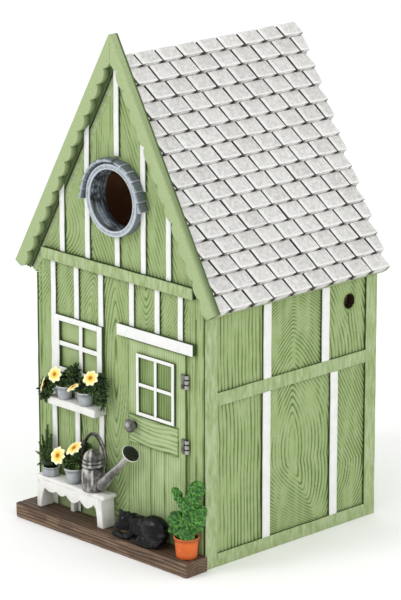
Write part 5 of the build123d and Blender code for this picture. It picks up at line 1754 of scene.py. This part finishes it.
# %% Little tree
TREE_LOBES = [((51.4, -8.6, 26.4), (4.9, 4.4, 4.9)), ((49.6, -9.4, 20.6), (2.6, 2.6, 2.4)),
              ((60.3, -10.2, 21.2), (4.6, 4.0, 3.4)), ((55.2, -9.6, 21.4), (3.6, 3.4, 3.0)),
              ((59.0, -7.6, 27.0), (4.6, 4.4, 5.0)), ((64.0, -6.4, 27.8), (3.8, 4.0, 5.4)),
              ((66.2, -5.2, 33.4), (2.6, 3.2, 4.0)), ((59.6, -7.6, 34.6), (4.2, 4.0, 5.4)),
              ((62.0, -6.8, 40.0), (4.0, 3.8, 4.8)), ((63.6, -6.2, 45.2), (4.4, 4.0, 4.6)),
              ((55.2, -8.2, 36.4), (2.9, 2.6, 3.2)), ((52.2, -8.4, 39.4), (2.6, 2.4, 3.0)),
              ((50.0, -8.4, 41.8), (2.0, 1.9, 2.0))]
tree_balls = [ball((x, FRONT_FACE + y, z), radii) for (x, y, z), radii in TREE_LOBES]
tree = weld(tree_balls, "clipped_tree", 0.5, 2)
only(tree)
bpy.ops.object.mode_set(mode="EDIT")
bpy.ops.mesh.select_all(action="SELECT")
bpy.ops.mesh.subdivide(number_cuts=1)
done()
co = points(tree) / MM
normals = np.empty(len(tree.data.vertices) * 3)
tree.data.vertices.foreach_get("normal", normals)
crumbs = noise(co[:, 0] + 0.6 * co[:, 1], co[:, 2] + 0.5 * co[:, 1], 0.95, 0.9, 361)
crumbs = crumbs + 0.5 * noise(co[:, 0] - 0.7 * co[:, 1], co[:, 2], 0.6, 0.55, 362)
co = co + normals.reshape(-1, 3) * (0.38 * crumbs)[:, None]
co[:, 1] = np.minimum(co[:, 1], FRONT_FACE - 1.3)
move_to(tree, co * MM)
write_wash_and_painted_light(tree, np.clip(0.15 - 0.8 * crumbs, -0.6, 0.8))
fit(settle(tree, "clipped_tree", leaf_bright, smooth=80), "leaf_bright", "topiary_plant")

# %% [markdown]
# The back is as plain as it can be: the same planks with straight grain, a square opening for the
# clean-out hatch and a pocket behind the keyhole plate. The hatch is three boards that hang on a
# pinned hinge, so its relief rides with the hatch.

# %% Back wall and hatch
back_low, back_high = area("back_wall")
hatch_low, hatch_high = area("hatch_door")
plate_low, plate_high = area("hanger_plate")
KEYHOLE_Z = plate_low[2] + 18.0
POCKET_R = 5.0           # mm, the hollow behind the keyhole plate
POCKET_SLOT = 4.5
POCKET_DEPTH = 3.4
OPENING_HALF = 31.0      # mm from the middle to a side of the hatch's opening
OPENING_LOW, OPENING_HIGH = 24.0, 90.0
BACK_SEAMS = (-46.0, -15.5, 15.5, 46.0)
HATCH_SEAMS = (-10.2, 10.2)


def board_seams(x, z, places, seed):
    """Dark lines between upright boards at some places of x."""
    seams = np.zeros_like(x)
    for place in places:
        line = np.clip(1 - np.abs(x - place - 0.2 * noise(x, z, 9, 11, seed)) / 0.7, 0, 1)
        seams = np.maximum(seams, line)
    return seams


def back_carving(u, v):
    x = back_high[0] - u
    groove = grain(x, x + 70, v, 501)
    seams = board_seams(x, v, BACK_SEAMS, 502)
    slot_above = (np.abs(x) < POCKET_SLOT) & (v > KEYHOLE_Z) & (v < KEYHOLE_Z + 10)
    pocket = (np.hypot(x, v - KEYHOLE_Z) < POCKET_R) | slot_above
    corners = beside(-x, v, ["hinge_wall_barrels", "hanger_plate"], (0, 2, -1), (0, 0))
    wash = groove * 1.6 + seams + 0.7 * corners + 0.25 * noise(u, v, 7, 11, 503) - 0.5 + pocket
    depth = 0.05 + GROOVE_DEPTH * groove + PLANK_GROOVE_DEPTH * seams * (~pocket) + POCKET_DEPTH * pocket
    return depth, wash


opening = (back_high[0] - OPENING_HALF, back_high[0] + OPENING_HALF, OPENING_LOW, OPENING_HIGH)
back_panel = relief("back_wall_planks", (back_high[0] * MM, back_high[1] * MM, 0), (-1, 0, 0), (0, 0, 1),
                    back_high[0] - back_low[0], ridge_z / MM, 0.8, back_carving, 5.0, sage_panel,
                    cuts=[((0, 0, ridge_z), rake), ((0, 0, ridge_z), (-rake.x, 0, rake.z))], opening=opening)
fit(back_panel, "green_wall", "back_wall")


def hatch_carving(u, v):
    x = hatch_high[0] - u
    groove = grain(x, x + 70, v, 511)
    seams = board_seams(x, v, HATCH_SEAMS, 512)
    edge = np.exp(-np.minimum(np.minimum(u, hatch_high[0] - x), np.minimum(v, 65.0 - v)) / 0.5)
    return 0.05 + 0.4 * groove + 0.7 * seams, groove * 1.6 + seams + 0.6 * edge - 0.5


hatch_corner = (hatch_high[0] * MM, hatch_high[1] * MM, hatch_low[2] * MM)
hatch = relief("hatch_boards", hatch_corner, (-1, 0, 0), (0, 0, 1), hatch_high[0] - hatch_low[0],
               hatch_high[2] - hatch_low[2], 0.7, hatch_carving, 4.0, sage_panel)
fit(hatch, "green_wall", "hatch_door", body="hatch")

# %% [markdown]
# The hinge, its pin, the screws and the keyhole plate are zinc-plated steel: a grey metal with a
# slightly cloudy shine. The floor is bare resin on top and the turn button is painted wood.
# These carry over from the CAD, and only take a finish here.

# %% Steel parts, floor and button


def plated_steel(name, colour, cloud, roughness):
    material = bpy.data.materials.new(name)
    material.use_nodes = True
    tree = material.node_tree
    shader = tree.nodes["Principled BSDF"]
    place = node(tree, "ShaderNodeTexCoord").outputs["Object"]
    clouds = node(tree, "ShaderNodeTexNoise", Vector=place, Scale=1 / (3 * MM), Detail=4.0).outputs["Fac"]
    tone = ramp(tree, clouds, (0.35, paint(colour)), (0.65, paint(cloud)))
    tree.links.new(tone, shader.inputs["Base Color"])
    dull = node(tree, "ShaderNodeMapRange", Value=clouds, To_Min=roughness - 0.08, To_Max=roughness + 0.1)
    tree.links.new(dull.outputs["Result"], shader.inputs["Roughness"])
    shader.inputs["Metallic"].default_value = 1.0
    return material


zinc_steel = plated_steel("zinc_plated_steel", "#9FA2A4", "#B9BBBC", 0.38)
finishes = {"hinge_wall_barrels": zinc_steel, "hinge_door_leaf": zinc_steel, "hinge_pin": zinc_steel,
            "button_screw": zinc_steel, "hanger_plate": zinc_steel, "hanger_screws": zinc_steel,
            "floor_plate": inside_brown, "turn_button": sage_rail}
for node_name, finish in finishes.items():
    carried = bpy.data.objects[node_name]
    carried.data.materials.clear()
    carried.data.materials.append(finish)
    print(node_name, finish.name)
